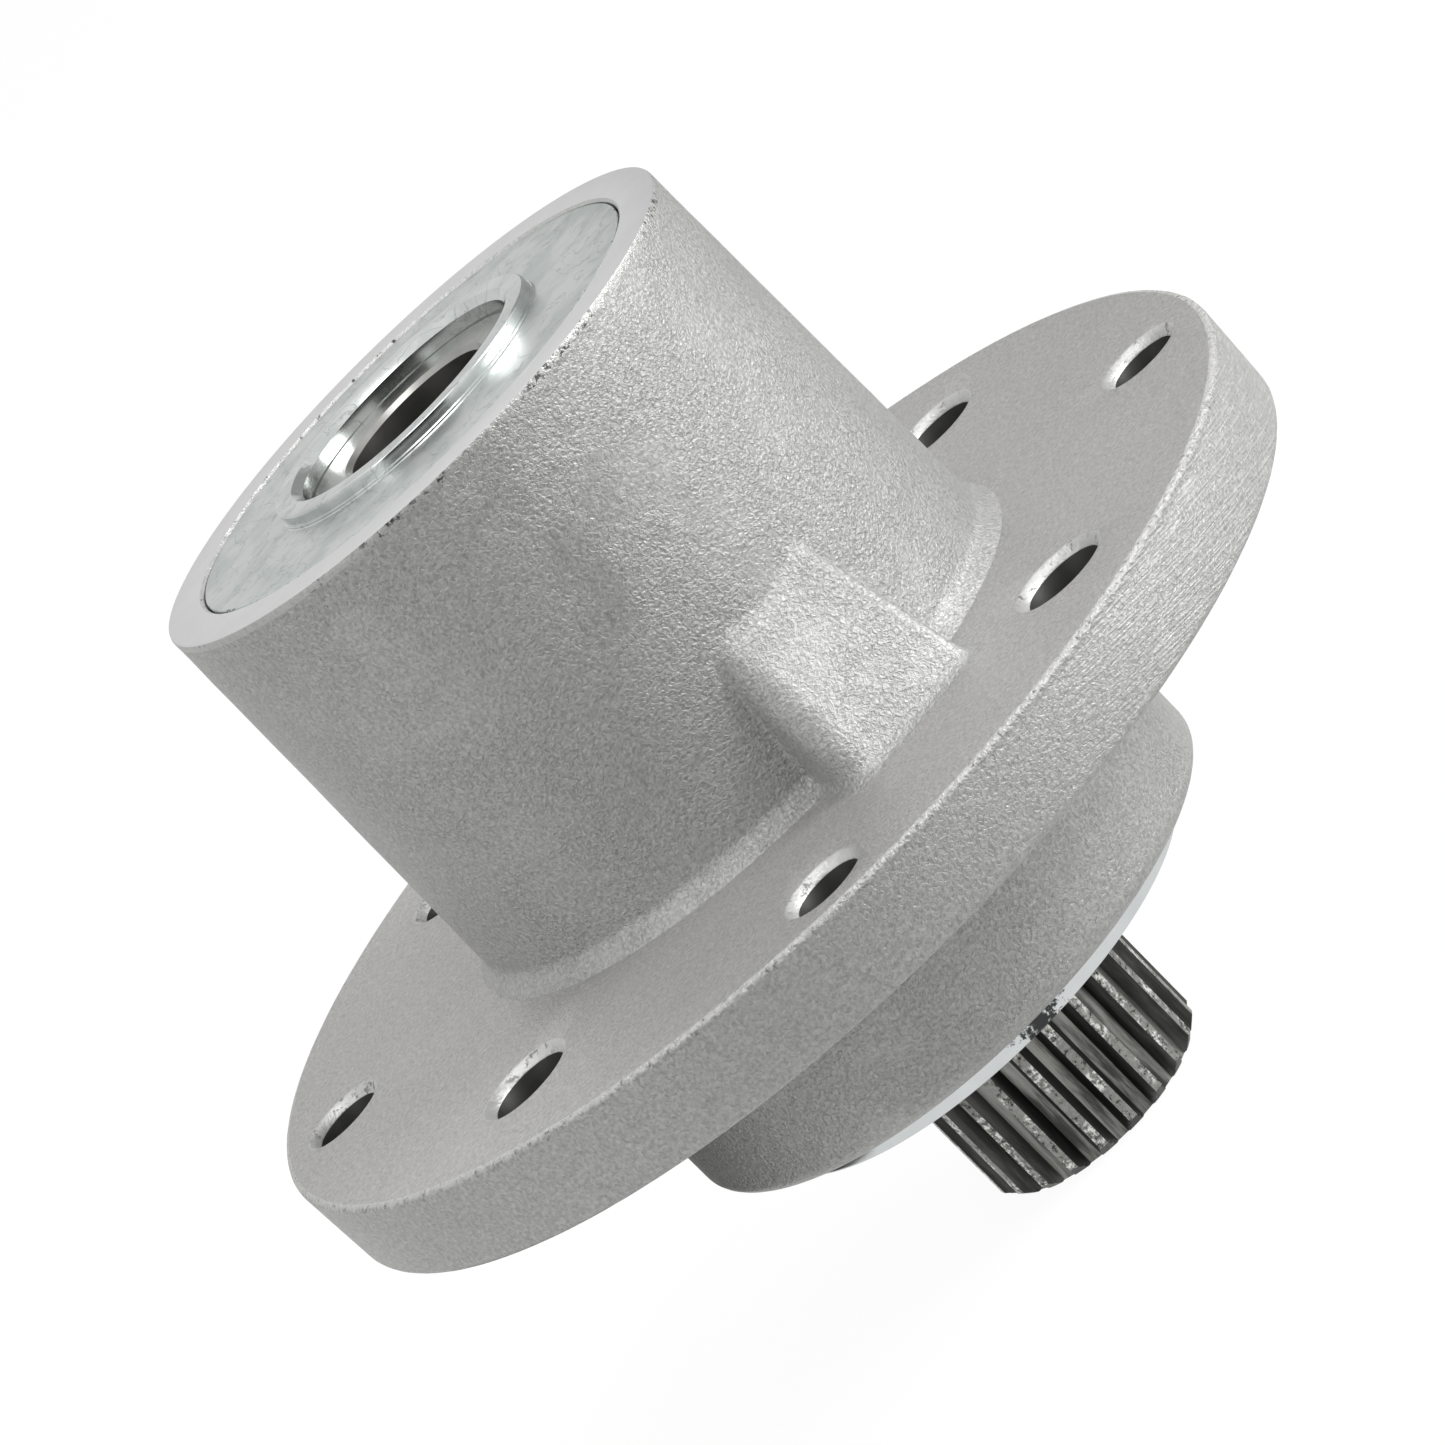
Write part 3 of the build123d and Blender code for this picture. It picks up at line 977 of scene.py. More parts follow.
@dataclass
class Casting:
    """The housing: barrel, flange with its bolt holes, lower hub and the lug on the barrel."""

    steps: int = 360
    flange_radius: float = 80.64
    flange_thick: float = 13.1
    flange_draft: float = 0.4
    top_round: float = 0.9
    bottom_round: float = 1.2
    barrel_height: float = 74.3
    barrel_top_radius: float = 42.0
    barrel_root_radius: float = 43.3
    rim_break: float = 0.35
    cove_wide: float = 2.0
    cove_tall: float = 2.2
    cove_blend: float = 0.7
    hub_radius: float = 42.9
    hub_depth: float = 28.8
    hub_edge_wide: float = 6.3
    hub_edge_tall: float = 3.4
    seat_radius: float = 36.01
    core_radius: float = 31.0
    groove_radius: float = 37.5
    mouth_break: float = 0.35
    upper_seat: tuple[float, float] = (52.2, 69.2)
    lower_seat: tuple[float, float] = (-23.3, -6.3)
    groove_wide: float = 2.65
    holes: tuple[BoltHoles, BoltHoles] = (
        BoltHoles(4.85, 70.5, 0.0),
        BoltHoles(5.65, 63.5, 45.0),
    )
    hole_band: tuple[float, float] = (56.0, 77.5)
    lug_angle: float = 22.5
    lug_top: float = 35.2
    lug_half_widths: tuple[float, float] = (9.7, 11.3)
    lug_reach: float = 53.5
    lug_slope: float = 0.5
    lug_corners: tuple[float, float] = (4.2, 2.0)
    lug_fillets: tuple[float, float] = (0.8, 0.3)
    lug_foot: float = 1.6
    patch_top: float = 40.0
    patch_half_turn: float = 20.0
    wander: float = 0.07
    smooth_under: float = 32.0

    def barrel_at(self, height: float) -> float:
        """Radius of the barrel's cast skin, its root cove included.

        Args:
            height: height above the flange's lower face.

        Returns:
            The radius.
        """
        above = height - self.flange_thick
        share = above / (self.barrel_height - self.flange_thick)
        taper = self.barrel_top_radius - self.barrel_root_radius
        cove = self.cove_wide - above * self.cove_wide / self.cove_tall
        root = self.barrel_root_radius
        return -smooth_least(-root - taper * share, -root - cove, self.cove_blend)

    def outside(self) -> Outline:
        """Outline of the cast outside, from the rim of the barrel down to the hub's lower edge.

        Returns:
            The points.
        """
        # Close rows in the cove and the height of the lug, and wide ones above it.
        rows = [self.flange_thick + 0.3 * k for k in range(1, 13)]
        rows += [rows[-1] + 1.2 * k for k in range(1, 20)]
        rows += [44.0, 50.0, 56.0, 62.0, 67.0, 70.5, 72.6, 73.25, 73.6]
        rim, height, foot = self.barrel_top_radius, self.barrel_height, self.flange_thick
        points = [(rim - self.rim_break, height), (rim - 0.1, height - 0.1)]
        points += [(rim, height - self.rim_break)]
        points += [(self.barrel_at(row), row) for row in reversed(rows)]
        points += [(reach, foot) for reach in (self.barrel_at(foot), 58.0, 68.0, 77.0)]
        top = (self.flange_radius - self.top_round, foot - self.top_round)
        points += arc(top, (self.top_round, self.top_round), 90, 0, 5)
        points += [(self.flange_radius - self.flange_draft / 2, 6.0)]
        low = (self.flange_radius - self.flange_draft - self.bottom_round, self.bottom_round)
        points += arc(low, (self.bottom_round, self.bottom_round), 0, -90, 5)
        points += [(self.hub_radius, 0), (self.hub_radius, -12.0)]
        hub = (self.hub_radius - self.hub_edge_wide, self.hub_edge_tall - self.hub_depth)
        points += arc(hub, (self.hub_edge_wide, self.hub_edge_tall), 0, -90, 10)
        return points

    def inside(self) -> Outline:
        """Outline of the turned inside, from the hub's mouth up to the barrel's.

        Returns:
            The points: bearing seats, the grooves for the retaining rings and the core.
        """
        seat, groove, core = self.seat_radius, self.groove_radius, self.core_radius
        mouth = seat + self.mouth_break
        (ring_top, low_seat), (high_seat, ring_bottom) = self.lower_seat, self.upper_seat
        low_ring, high_ring = ring_top - self.groove_wide, ring_bottom + self.groove_wide
        points = [(mouth, -self.hub_depth), (seat, self.mouth_break - self.hub_depth)]
        points += [(seat, low_ring), (groove, low_ring), (groove, ring_top), (seat, ring_top)]
        points += [(seat, low_seat), (core, low_seat), (core, high_seat), (seat, high_seat)]
        points += [(seat, ring_bottom), (groove, ring_bottom)]
        points += [(groove, high_ring), (seat, high_ring)]
        points += [(seat, self.barrel_height - self.mouth_break), (mouth, self.barrel_height)]
        return points

    def lug_distance(self, across: float, out: float, height: float) -> float:
        """Distance of a point from the skin of barrel and lug together.

        Args:
            across: distance to the right of the lug's middle plane.
            out: distance from the spindle axis along the lug's direction.
            height: the point's height.

        Returns:
            The distance, negative inside.
        """
        above = height - self.flange_thick
        over = max(self.lug_foot - above, 0.0)
        flare = self.lug_foot - math.sqrt(max(self.lug_foot**2 - over**2, 0.0))
        share = (self.lug_top - height) / (self.lug_top - self.flange_thick)
        narrow, wide = self.lug_half_widths

        # Its left side and its foot are softer than its right side and its top.
        right = ease(across, -3.0, 6.0)
        sharp = max(right, 0.7 * ease(height, 20.0, 32.0))
        (left_corner, right_corner), (soft, crisp) = self.lug_corners, self.lug_fillets
        corner = left_corner + (right_corner - left_corner) * right
        fillet = soft + (crisp - soft) * sharp

        side = abs(across) - (narrow + (wide - narrow) * share) - flare
        face = out - (self.lug_reach - self.lug_slope * above) - flare
        face /= math.hypot(1, self.lug_slope)
        lug = -smooth_least(-side, -face, corner)
        return smooth_least(math.hypot(across, out) - self.barrel_at(height), lug, fillet)

    def skin_radius(self, angle: float, height: float) -> float:
        """Radius of the cast skin of barrel and lug, found by halving.

        Args:
            angle: direction about the spindle axis, from the lug's, in radians.
            height: height above the flange's lower face.

        Returns:
            The radius.
        """
        low, high = self.barrel_top_radius - 1, self.lug_reach + 6
        for _ in range(18):
            middle = (low + high) / 2
            across, out = middle * math.sin(angle), middle * math.cos(angle)
            inside = self.lug_distance(across, out, height) < 0
            low, high = (middle, high) if inside else (low, middle)
        return low

    def raise_lug(self, piece: bpy.types.Object) -> None:
        """Refine the barrel behind the lug and pull its skin out to the lug's form.

        Args:
            piece: the turned casting.
        """
        towards = math.radians(self.lug_angle - 90)
        half = math.radians(self.patch_half_turn)
        foot, top = self.flange_thick, self.patch_top
        skin = self.barrel_top_radius - 0.5

        def turn_from_lug(place: Vector) -> float:
            """Angle between a place and the lug, about the spindle axis."""
            return (math.atan2(place.y, place.x) - towards + math.pi) % math.tau - math.pi

        def on_barrel(centre: Vector, normal: Vector) -> bool:
            """Whether a face is on the barrel's skin near the lug."""
            near = abs(turn_from_lug(centre)) < half and foot < centre.z < top
            return near and centre.xy.length > skin and abs(normal.z) < 0.9

        select_faces(piece, on_barrel)
        bpy.ops.mesh.subdivide(number_cuts=3)
        bpy.ops.object.mode_set(mode="OBJECT")
        for vertex in piece.data.vertices:
            place = vertex.co / MM
            reach = place.xy.length
            angle = turn_from_lug(place)
            near = abs(angle) < half * 1.01 and foot - 0.01 < place.z < top + 0.01
            if near and skin < reach < self.lug_reach:
                grown = max(self.skin_radius(angle, place.z), self.barrel_at(place.z)) / reach
                vertex.co.x *= grown
                vertex.co.y *= grown

    def wander_inwards(self, piece: bpy.types.Object) -> None:
        """Let the cast skin wander inwards a little, as it leaves its mould.

        Args:
            piece: the casting.
        """
        skin, low, high = self.barrel_top_radius - 0.6, -26.0, self.barrel_height - 1.2
        for vertex in piece.data.vertices:
            place = vertex.co / MM
            reach = place.xy.length
            if reach > skin and low < place.z < high:
                # Waves about 9 mm long, with shorter ones of half their depth.
                dip = abs(noise.noise(place / 9.0)) + 0.5 * abs(noise.noise(place / 3.1))
                shrink = 1 - self.wander * dip / reach
                vertex.co.x *= shrink
                vertex.co.y *= shrink

    def dress(self, piece: bpy.types.Object) -> None:
        """Dress the skin, the flange, its rim and edges, the holes and the turned faces.

        Args:
            piece: the finished casting.
        """
        # The flange's top is lighter and flatter than the skin, with a soft sheen.
        face = CastSkin(
            "blasted_cast_aluminium_face",
            pit="a6a6a4",
            lit_crest="cecccb",
            metallic=0.6,
            roughness=0.43,
            grain=0.5,
            grain_depth=0.24,
            swell_depth=0.06,
        )
        # The barrel's rim has a thin burr outside, pecked by small nicks whose dark is painted
        # shade.
        burr = ChippedEdge("burred_aluminium_edge", "bebebc", "505050", 0.8, 0.49, 0.3)
        # The walls of the bolt holes are painted nearly black, as shade deep in the holes.
        drilled = MachinedAluminium("drilled_aluminium_painted_shade", "5c5c5a", "3f3f3e", 0.45, 0.5)
        # The mouth of the bore has a bright lip with coarser chips, whose dark is painted shade.
        lip = ChippedEdge("chipped_aluminium_lip")
        # The countersinks catch the light as bright crescents with a few dents, painted grey as
        # shade.
        sunk = ChippedEdge("countersunk_aluminium", "d0d0ce", "8a8a88", 1.2, 0.46, 0.2)
        finishes = {
            CastingSlot.SKIN: CastSkin("blasted_cast_aluminium").make(),
            CastingSlot.TURNED: MachinedAluminium().make(),
            CastingSlot.FACE: face.make(),
            CastingSlot.RIM: DressedRim().make(self.flange_radius, self.flange_thick),
            CastingSlot.BURR: burr.make(),
            CastingSlot.DRILLED: drilled.make(),
            CastingSlot.LIP: lip.make(),
            CastingSlot.SUNK: sunk.make(),
        }
        dress(piece, list(finishes.values()))

        mouth = self.barrel_height - self.rim_break - 0.01
        foot, edge = self.flange_thick, self.flange_radius - self.top_round
        groove, (inner, outer) = self.groove_radius, self.hole_band

        def turned(centre: Vector, normal: Vector) -> bool:
            """Tell whether a face was turned after casting.

            Args:
                centre: the face's centre in millimetres.
                normal: its normal.

            Returns:
                True on the barrel's rim, in the bore and on the flange's seat.
            """
            bore = centre.xy.length < groove + 0.5 and centre.z > -self.hub_depth + 0.01
            seat = abs(centre.z) < 0.01 and normal.z < -0.9
            return centre.z > mouth or bore or seat

        def on_edge(centre: Vector, normal: Vector) -> bool:
            """Whether a face is on the outer edge of the barrel's rim."""
            return centre.xy.length > groove + 2 and mouth - 1.0 < centre.z < mouth + 0.2

        def in_hole(centre: Vector, normal: Vector) -> bool:
            """Whether a face is on the drilled wall of a bolt hole."""
            between = inner < centre.xy.length < outer and 0.05 < centre.z < foot - 1.15
            return between and abs(normal.z) < 0.5

        def on_lip(centre: Vector, normal: Vector) -> bool:
            """Whether a face is on the lip round the mouth of the bore."""
            return centre.z > mouth and abs(normal.z) < 0.95 and centre.xy.length < groove

        def on_countersink(centre: Vector, normal: Vector) -> bool:
            """Whether a face is on the countersink of a bolt hole."""
            between = inner < centre.xy.length < outer and foot - 1.2 < centre.z < foot
            return between and 0.3 < normal.z < 0.9

        def on_face(centre: Vector, normal: Vector) -> bool:
            """Whether a face is on the flat top of the flange."""
            return abs(centre.z - foot) < 0.01 and normal.z > 0.99

        def on_rim(centre: Vector, normal: Vector) -> bool:
            """Whether a face is on the rim of the flange."""
            return centre.xy.length > edge - 0.1 and 0.6 < centre.z < foot - 0.01

        paint_faces(piece, CastingSlot.TURNED, turned)
        paint_faces(piece, CastingSlot.FACE, on_face)
        paint_faces(piece, CastingSlot.RIM, on_rim)
        paint_faces(piece, CastingSlot.BURR, on_edge)
        # The walls of the bolt holes take painted shade.
        paint_faces(piece, CastingSlot.DRILLED, in_hole)
        paint_faces(piece, CastingSlot.LIP, on_lip)
        paint_faces(piece, CastingSlot.SUNK, on_countersink)

    def build(self) -> bpy.types.Object:
        """Model the casting and dress it.

        Returns:
            The finished piece.
        """
        outline = [self.inside()[-1], *self.outside(), *self.inside()]
        piece = turn("housing_casting", outline, self.steps)
        self.raise_lug(piece)
        self.wander_inwards(piece)
        for circle in self.holes:
            for cutter in circle.cutters(self.flange_thick):
                cut(piece, cutter)
        smooth(piece, self.smooth_under)
        self.dress(piece)
        settle(piece, "housing", Body.HOUSING)
        return piece


@dataclass
class UpperShield:
    """Plated disc in the barrel's mouth, with its collar round the shaft."""

    steps: int = 360
    radius: float = 35.7
    top: float = 74.1
    plate: float = 1.6
    boss_bottom: float = 69.2
    bore_radius: float = 17.54
    foot_radius: float = 21.75
    collar_radius: float = 21.45
    collar_height: float = 2.0
    collar_round: float = 0.3
    foot_tall: float = 0.5
    chamfer: float = 1.0
    edge_round: float = 0.25
    smooth_under: float = 28.0

    def outline(self) -> Outline:
        """Closed outline of the shield, with the small rounds that catch the light.

        Returns:
            The points.
        """
        under, rim = self.top - self.plate, self.top + self.collar_height
        top, step = self.top, self.top + self.foot_tall
        bore, foot, collar = self.bore_radius, self.foot_radius, self.collar_radius
        e, r = self.edge_round, self.collar_round
        points = [(bore, self.boss_bottom), (foot, self.boss_bottom), (foot, under)]
        points += [(self.radius - e, under), (self.radius, under + e)]
        points += arc((self.radius - e, top - e), (e, e), 0, 90, 3)
        points += [(31.0, top), (26.0, top), (foot + 0.5, top)]
        points += [(foot + 0.12, top + 0.05), (foot, top + 0.2)]
        points += [(foot, step - 0.08), (foot - 0.08, step)]
        points += [(collar + 0.05, step), (collar, step + 0.05)]
        points += arc((collar - r, rim - r), (r, r), 0, 90, 4)
        points += [(bore + self.chamfer + 0.1, rim), (bore + self.chamfer, rim - 0.06)]
        points += [(bore, rim - self.chamfer), points[0]]
        return points

    def build(self) -> bpy.types.Object:
        """Model the shield and dress it.

        Returns:
            The finished piece.
        """
        piece = turn("upper_shield_plated", self.outline(), self.steps)
        smooth(piece, self.smooth_under)
        # The disc is satin, so its clouds show and it mirrors nothing sharply.
        satin = ZincPlate("satin_zinc_plate", 0.38, ripple_depth=0.012)
        # The collar is bright, with a rim of light on each of its rounds.
        bright = ZincPlate("bright_zinc_plate", 0.17, "d4d7d6", "c2c7c6", "a4a9a8", 0.002)
        # Handling has chipped the disc's edge, which breaks its line of light; the chips are
        # painted dark as shade.
        edge = ChippedEdge("chipped_zinc_plate", "c6cbcb", "4c5050", 1.2, 0.46, 0.25)
        finishes = {
            ShieldSlot.DISC: satin.make(),
            ShieldSlot.COLLAR: bright.make(),
            ShieldSlot.EDGE: edge.make(),
        }
        dress(piece, list(finishes.values()))
        collar, rim = self.foot_radius + 0.3, self.radius - self.edge_round
        low = self.top - self.plate + 0.4
        paint_faces(piece, ShieldSlot.COLLAR, lambda c, n: c.xy.length < collar)
        paint_faces(piece, ShieldSlot.EDGE, lambda c, n: c.xy.length > rim and c.z > low)
        settle(piece, "upper_dust_shield", Body.SHAFT)
        return piece


@dataclass
class LowerShield:
    """Plated disc under the hub, whose bright edge has a dark reflection painted on it in front.
    """

    steps: int = 360
    radius: float = 35.25
    bottom: float = -31.7
    thick: float = 4.2
    boss: float = 0.5
    bore_radius: float = 17.54
    boss_radius: float = 22.0
    edge: float = 0.3
    smooth_under: float = 28.0

    def build(self) -> bpy.types.Object:
        """Model the shield and dress it.

        Returns:
            The finished piece.
        """
        high = self.bottom + self.thick
        top = high + self.boss
        e = self.edge
        outline = [(self.bore_radius, self.bottom), (26.0, self.bottom)]
        outline += arc((self.radius - e, self.bottom + e), (e, e), -90, 0, 4)
        outline += [(self.radius, high - 0.1), (self.radius - 0.1, high)]
        outline += [(self.boss_radius, high), (self.boss_radius, top)]
        outline += [(self.bore_radius, top), outline[0]]
        piece = turn("lower_shield_plated", outline, self.steps)
        smooth(piece, self.smooth_under)
        # Its edge has a dark reflection painted on it in front.
        dress(piece, [PaintedReflectionPlate().make()])
        settle(piece, "lower_dust_shield", Body.SHAFT)
        return piece


@dataclass
class SplinedShaft:
    """The shaft: bored upper end, seats for the bearings and the splined lower end."""

    teeth: int = 21
    tooth_steps: int = 16
    top: float = 73.3
    bore_radius: float = 11.2
    bore_depth: float = 48.0
    bore_chamfer: float = 0.65
    radius: float = 17.49
    edge: float = 0.4
    shoulder_radius: float = 22.0
    shoulder: tuple[float, float] = (-27.0, -23.3)
    spline_top: float = -31.5
    bottom: float = -56.5
    tip_radius: float = 17.465
    root_radius: float = 15.7
    end_chamfer: float = 1.4
    first_land: float = 9.6
    drill_point: float = 118.0
    last_land_step: int = 2
    first_root_step: int = 5
    smooth_under: float = 24.0

    def tooth_radius(self, step: int) -> float:
        """Radius of the spline's section.

        Args:
            step: how many vertices away from the middle of a tooth.

        Returns:
            The radius: a flat land, a sloping flank and a round root.
        """
        away = min(step % self.tooth_steps, -step % self.tooth_steps)
        flank = self.first_root_step - self.last_land_step
        share = min(max((away - self.last_land_step) / flank, 0.0), 1.0)
        return self.tip_radius + (self.root_radius - self.tip_radius) * share

    def cut_teeth(self, piece: bpy.types.Object) -> None:
        """Draw the rings of the plain lower end in to the form of the teeth.

        Args:
            piece: the turned shaft.
        """
        turn_step = math.tau / (self.teeth * self.tooth_steps)
        for vertex in piece.data.vertices:
            place = vertex.co / MM
            reach = place.xy.length
            if place.z > self.spline_top - 0.01 or reach < self.root_radius - 1:
                continue
            step = round((math.atan2(place.y, place.x) - math.pi / 2) / turn_step)
            end = self.tip_radius - self.end_chamfer + place.z - self.bottom
            wanted = min(self.tooth_radius(step), max(end, self.root_radius))
            vertex.co.x *= wanted / reach
            vertex.co.y *= wanted / reach

    def outline(self) -> Outline:
        """Outline of the turned blank, from the floor of the bore to the lower pole.

        Returns:
            The points, with rings in the end chamfer for the teeth.
        """
        bore, reach, tip, top = self.bore_radius, self.radius, self.tip_radius, self.top
        mouth, depth = top - self.bore_chamfer, tip - self.root_radius
        chamfer_rings = [self.end_chamfer - depth * share for share in (1 / 3, 2 / 3)]
        low, high = self.shoulder
        points = [(bore, top - self.bore_depth), (bore, mouth - 8.0), (bore, mouth)]
        points += [(bore + self.bore_chamfer, top), (reach - self.edge, top)]
        points += [(reach, top - self.edge), (reach, high)]
        points += [(self.shoulder_radius, high), (self.shoulder_radius, low)]
        points += [(reach, low), (reach, self.spline_top), (tip, self.spline_top - 0.02)]
        points += [(tip, self.bottom + self.end_chamfer)]
        points += [(tip, self.bottom + height) for height in chamfer_rings]
        points += [(tip, self.bottom), (14.0, self.bottom), (0, self.bottom)]
        return points

    def build(self) -> bpy.types.Object:
        """Model the shaft and dress it.

        Returns:
            The finished piece.
        """
        piece = turn("splined_shaft_steel", self.outline(), self.teeth * self.tooth_steps)
        close_with_pole(piece, -self.bore_radius / math.tan(math.radians(self.drill_point / 2)))
        self.cut_teeth(piece)
        edit(piece, "SELECT")
        bpy.ops.mesh.normals_make_consistent(inside=False)
        bpy.ops.object.mode_set(mode="OBJECT")
        piece.data.transform(Matrix.Rotation(math.radians(self.first_land - 180), 4, "Z"))
        smooth(piece, self.smooth_under)
        # The flanks are nearly black under their oil, which parts one tooth from the next.
        flank = HobbedSteel("hobbed_flank_steel", "545452", "343433", 0.42)
        # The roots are worn a little brighter, so the spline reads as bars of light and dark.
        root = HobbedSteel("hobbed_root_steel", "8a8a86", "3e3e3c", 0.36)
        finishes = {
            ShaftSlot.TURNED: TurnedSteel().make(),
            ShaftSlot.FLANK: flank.make(),
            ShaftSlot.LAND: PittedLand().make(),
            ShaftSlot.ROOT: root.make(),
        }
        dress(piece, list(finishes.values()))
        under, land = self.spline_top, self.tip_radius - 0.25
        inner, outer = self.root_radius - 0.7, self.root_radius + 0.1

        def on_spline(centre: Vector, normal: Vector) -> bool:
            """Whether a face is on the spline, apart from its flat end."""
            return centre.z < under + 0.01 and normal.z > -0.95

        def on_land(centre: Vector, normal: Vector) -> bool:
            """Whether a face is on the top of a tooth."""
            return centre.z < under and centre.xy.length > land and abs(normal.z) < 0.1

        def in_root(centre: Vector, normal: Vector) -> bool:
            """Whether a face is on the floor between two teeth."""
            return centre.z < under and inner < centre.xy.length < outer

        paint_faces(piece, ShaftSlot.FLANK, on_spline)
        paint_faces(piece, ShaftSlot.LAND, on_land)
        paint_faces(piece, ShaftSlot.ROOT, in_root)
        settle(piece, "spindle_shaft", Body.SHAFT)
        return piece


@dataclass(frozen=True)
class InnerParts:
    """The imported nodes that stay: both bearings, the spacer and the retaining rings."""

    finishes: tuple[tuple[str, InnerMetal | SealRubber], ...] = (
        # Ground chromium steel: bright, with crisp mirror lines.
        ("race", InnerMetal("ground_bearing_steel", "c4c4c6", "b2b2b4", 0.12, 3.0)),
        # Lapped chromium steel: the brightest part, a clean mirror.
        ("balls", InnerMetal("polished_bearing_steel", "cfcfd1", "c4c4c6", 0.06, 5.0)),
        # Pressed strip: a soft warm grey, a little mottled by the press.
        ("cage", InnerMetal("pressed_cage_steel", "aaa9a6", "8f8e8b", 0.34, 1.2)),
        ("seal", SealRubber()),
        # Phosphated spring steel: nearly black and matte.
        ("ring", InnerMetal("phosphated_spring_steel", "3c3c3e", "2e2e30", 0.5, 1.0)),
        # Drawn tube: a plain mid grey with a dull sheen.
        ("spacer", InnerMetal("drawn_tube_steel", "8d8c8a", "777674", 0.38, 2.0)),
    )

    def dress(self, nodes: dict[str, bpy.types.Object]) -> None:
        """Give each node that stays the finish of its kind.

        Args:
            nodes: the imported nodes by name.
        """
        made = {kind: finish.make() for kind, finish in self.finishes}
        for name, node in sorted(nodes.items()):
            kinds = [kind for kind in made if kind in name]
            if kinds:
                dress(node, [made[kinds[0]]])
                LOG.info("%s: kept, %s", name, made[kinds[0]].name)


# Studio


@dataclass(frozen=True)
class Lamp:
    """A soft square lamp that looks at the object."""

    name: str
    azimuth: float
    elevation: float
    away_m: float
    side_m: float
    power: float

    def place(self, target: Vector) -> None:
        """Hang the lamp.

        Args:
            target: the point that it looks at, in metres.
        """
        angle, lift = math.radians(self.azimuth), math.radians(self.elevation)
        level = math.cos(lift)
        back = Vector((math.sin(angle) * level, -math.cos(angle) * level, math.sin(lift)))
        light = bpy.data.lights.new(self.name, "AREA")
        light.shape = "SQUARE"
        light.size = self.side_m
        light.energy = self.power
        lamp = bpy.data.objects.new(self.name, light)
        lamp.location = target + back * self.away_m
        lamp.rotation_euler = (-back).to_track_quat("-Z", "Y").to_euler()
        bpy.context.scene.collection.objects.link(lamp)


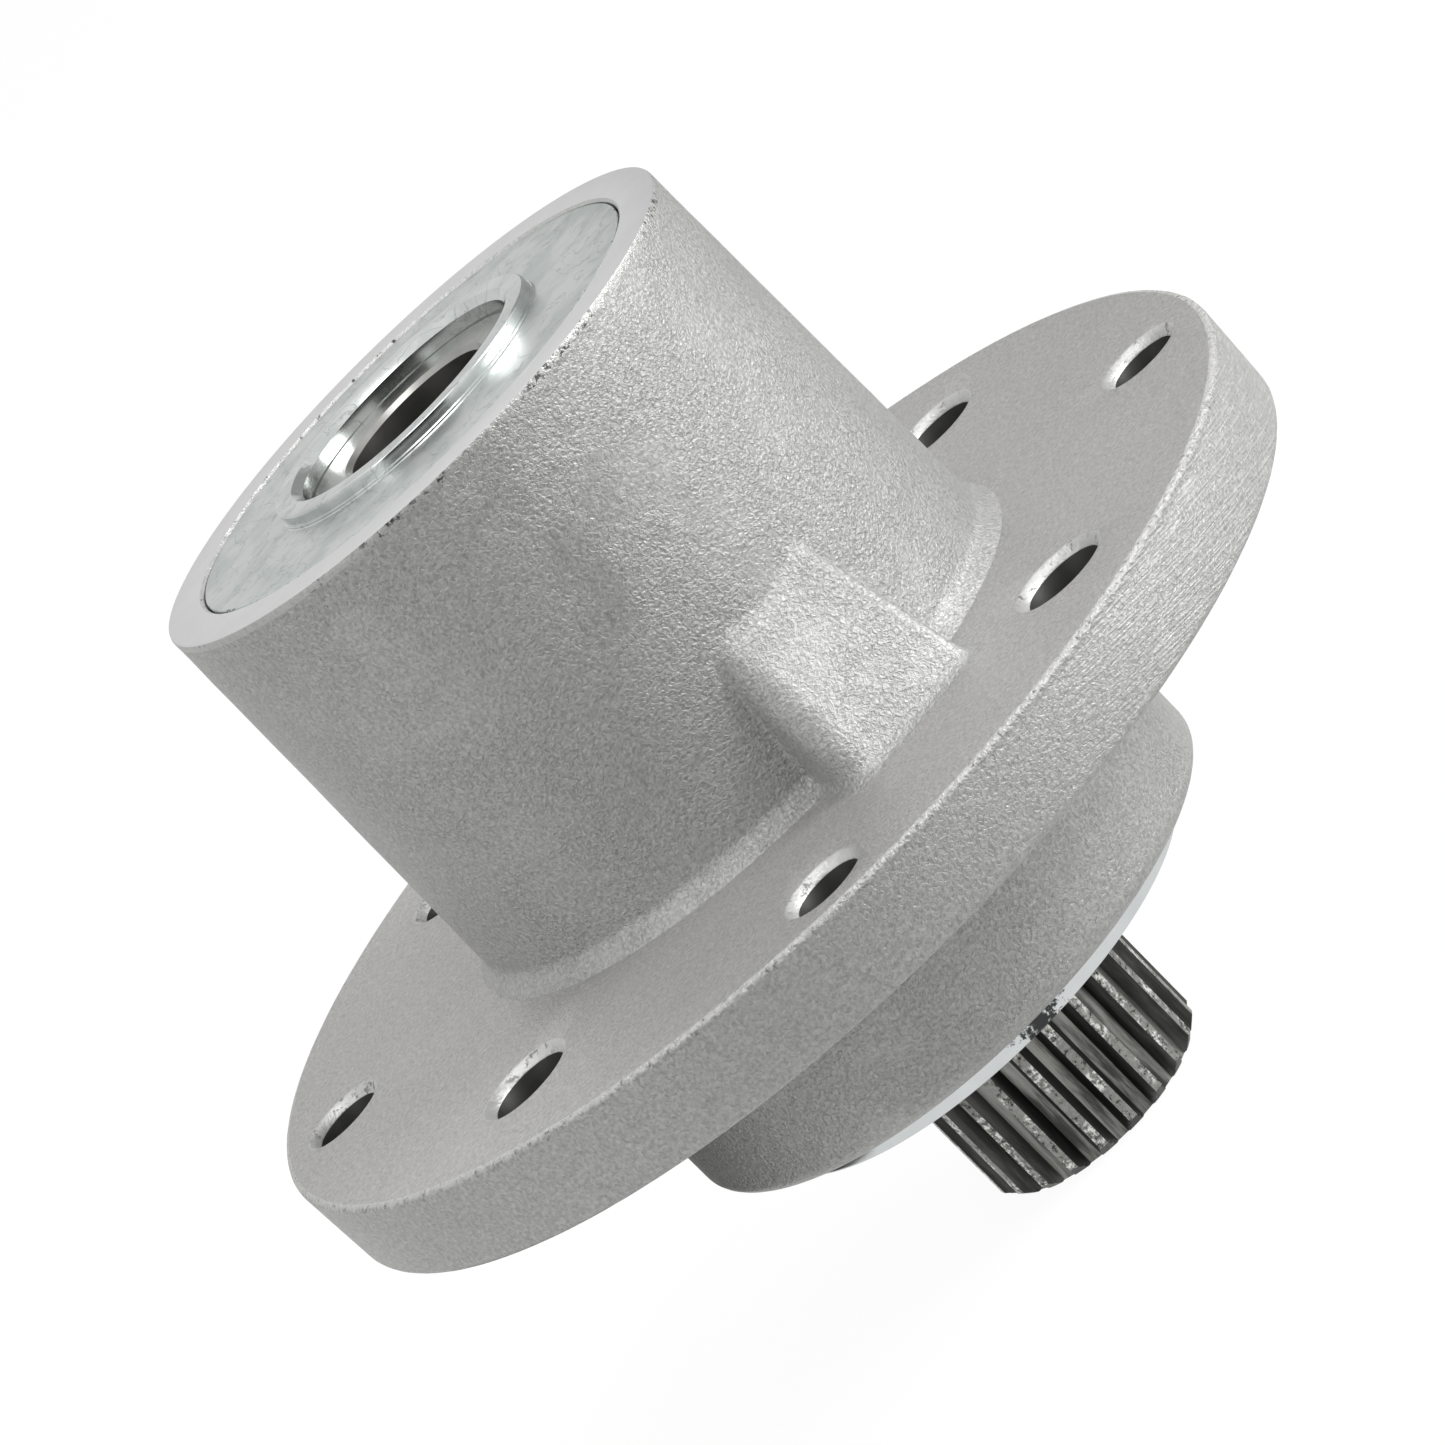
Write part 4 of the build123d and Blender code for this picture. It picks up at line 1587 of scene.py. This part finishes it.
@dataclass(frozen=True)
class Card:
    """A grey card, out of the camera's sight, that metal mirrors in place of the white room."""

    name: str
    azimuth: float
    away_m: float
    width_m: float
    height_m: float
    tone: str
    low_m: float = -0.056

    def place(self) -> None:
        """Stand the card up facing the spindle axis."""
        angle = math.radians(self.azimuth)
        deselect_all()
        bpy.ops.mesh.primitive_plane_add(size=1)
        card = bpy.context.object
        card.name = self.name
        card.scale = (self.width_m, self.height_m, 1)
        card.rotation_euler = (math.pi / 2, 0, angle)
        middle, away = self.low_m + self.height_m / 2, self.away_m
        card.location = (math.sin(angle) * away, -math.cos(angle) * away, middle)
        card.visible_camera = False
        card.visible_shadow = False
        card.visible_diffuse = False
        material = bpy.data.materials.new(self.name)
        material.use_nodes = True
        tree = material.node_tree
        tree.nodes.clear()
        glow = add_node(tree, "Emission", {"Color": colour(self.tone), "Strength": 1.0})
        add_node(tree, "OutputMaterial", links={"Surface": glow})
        dress(card, [material])
        card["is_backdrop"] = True


@dataclass(frozen=True)
class Studio:
    """Pale floor, white surroundings, soft lamps, grey cards and the camera."""

    floor_side_m: float = 6.0
    floor_below_m: float = 0.0002
    floor_paint: float = 0.12
    floor_glow: float = 0.93
    floor_dull: str = "949494"
    lens: float = 167.1
    sensor: float = 36.0
    clip_m: tuple[float, float] = (0.05, 20.0)
    camera_mm: tuple[float, float, float] = (57.65, -824.5, 246.04)
    target_mm: tuple[float, float, float] = (-0.07, 0.0, 15.97)
    roll: float = -44.735
    world_level: float = 0.4
    lamps: tuple[Lamp, ...] = (
        # The main light, which rakes over the right of the casting and raises its grain.
        Lamp("right_softbox", 80, 24, 1.6, 0.8, 22.0),
        # Two weak ones that keep the left and the tops from falling dark.
        Lamp("left_softbox", -45, 36, 1.6, 0.8, 4.0),
        Lamp("top_softbox", 15, 74, 1.6, 0.7, 4.0),
    )
    cards: tuple[Card, ...] = (
        # Dark, for the shaded valley down the middle of the barrel.
        Card("front_card", -5, 0.25, 0.27, 0.34, "181818"),
        # Just under white, for the lighter left of the barrel.
        Card("left_card", -97, 0.25, 0.66, 0.45, "e4e4e4"),
        # Small, dark and under the flange, for the shade on the left of the hub.
        Card("low_left_card", -98, 0.074, 0.08, 0.044, "141414"),
        # Greys that keep the collar and the far edges from mirroring plain white.
        Card("right_card", 143, 0.3, 0.34, 0.36, "acacac"),
        Card("back_card", 192, 0.42, 0.7, 0.42, "e2e2e2"),
    )

    def seen(self, tree: bpy.types.NodeTree) -> bpy.types.Node:
        """Tell the rays that see a surface from the rays that it lights.

        Args:
            tree: the node tree.

        Returns:
            A level that is 1 for camera, glossy and transmission rays, and 0 for others.
        """
        rays = add_node(tree, "LightPath").outputs
        links = {0: rays["Is Camera Ray"], 1: rays["Is Glossy Ray"]}
        first = add_node(tree, "Math", {"operation": "MAXIMUM"}, links)
        links = {0: first, 1: rays["Is Transmission Ray"]}
        return add_node(tree, "Math", {"operation": "MAXIMUM"}, links)

    def surroundings(self) -> None:
        """Light the scene from all round, white where it is seen or mirrored."""
        world = bpy.data.worlds.new("studio")
        world.use_nodes = True
        bpy.context.scene.world = world
        tree = world.node_tree
        tree.nodes.clear()
        white_light = colour("ffffff")
        dim = {"Color": white_light, "Strength": self.world_level}
        plain = add_node(tree, "Background", dim)
        white = add_node(tree, "Background", {"Color": white_light, "Strength": 1.0})
        mixed = add_node(tree, "MixShader", links={0: self.seen(tree), 1: plain, 2: white})
        add_node(tree, "OutputWorld", links={"Surface": mixed})

    def floor(self, height: float) -> None:
        """Lay the pale floor: white where it is seen, with the object's shadow, and dull as light.

        Args:
            height: height of the lowest point of the object, in metres.
        """
        deselect_all()
        place = (0, 0, height - self.floor_below_m)
        bpy.ops.mesh.primitive_plane_add(size=self.floor_side_m, location=place)
        ground = bpy.context.object
        ground.name = "floor"
        material = bpy.data.materials.new("pale_floor")
        material.use_nodes = True
        tree = material.node_tree
        tree.nodes.clear()
        paint = add_node(tree, "BsdfDiffuse", {"Color": (*[self.floor_paint] * 3, 1)})
        glow = add_node(tree, "Emission", {"Color": colour("ffffff"), "Strength": self.floor_glow})
        lit = add_node(tree, "AddShader", links={0: paint, 1: glow})
        dull = add_node(tree, "BsdfDiffuse", {"Color": colour(self.floor_dull)})
        mixed = add_node(tree, "MixShader", links={0: self.seen(tree), 1: dull, 2: lit})
        add_node(tree, "OutputMaterial", links={"Surface": mixed})
        dress(ground, [material])
        ground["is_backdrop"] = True

    def camera(self) -> None:
        """Set the camera where the photograph was taken from, with its roll."""
        data = bpy.data.cameras.new("camera")
        data.lens = self.lens
        data.sensor_width = self.sensor
        data.clip_start, data.clip_end = self.clip_m
        camera = bpy.data.objects.new("camera", data)
        bpy.context.scene.collection.objects.link(camera)
        eye, target = Vector(self.camera_mm) * MM, Vector(self.target_mm) * MM
        look = (target - eye).to_track_quat("-Z", "Y").to_matrix().to_4x4()
        roll = Matrix.Rotation(math.radians(self.roll), 4, "Z")
        camera.matrix_world = Matrix.Translation(eye) @ look @ roll
        bpy.context.scene.camera = camera

    def build(self, low: Vector) -> None:
        """Set up all that stands round the object.

        Args:
            low: lowest corner of the object.
        """
        self.surroundings()
        self.floor(low.z)
        for lamp in self.lamps:
            lamp.place(Vector(self.target_mm) * MM)
        for card in self.cards:
            card.place()
        self.camera()
        bpy.context.scene.view_settings.view_transform = "Standard"


def main() -> None:
    """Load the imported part, dress it and set up the studio."""
    logging.basicConfig(level=logging.INFO, format="%(name)s: %(message)s")
    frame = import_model()
    Studio().build(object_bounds()[0])
    Casting().build()
    UpperShield().build()
    LowerShield().build()
    SplinedShaft().build()
    InnerParts().dress(frame["nodes"])


if __name__ == "__main__":
    main()
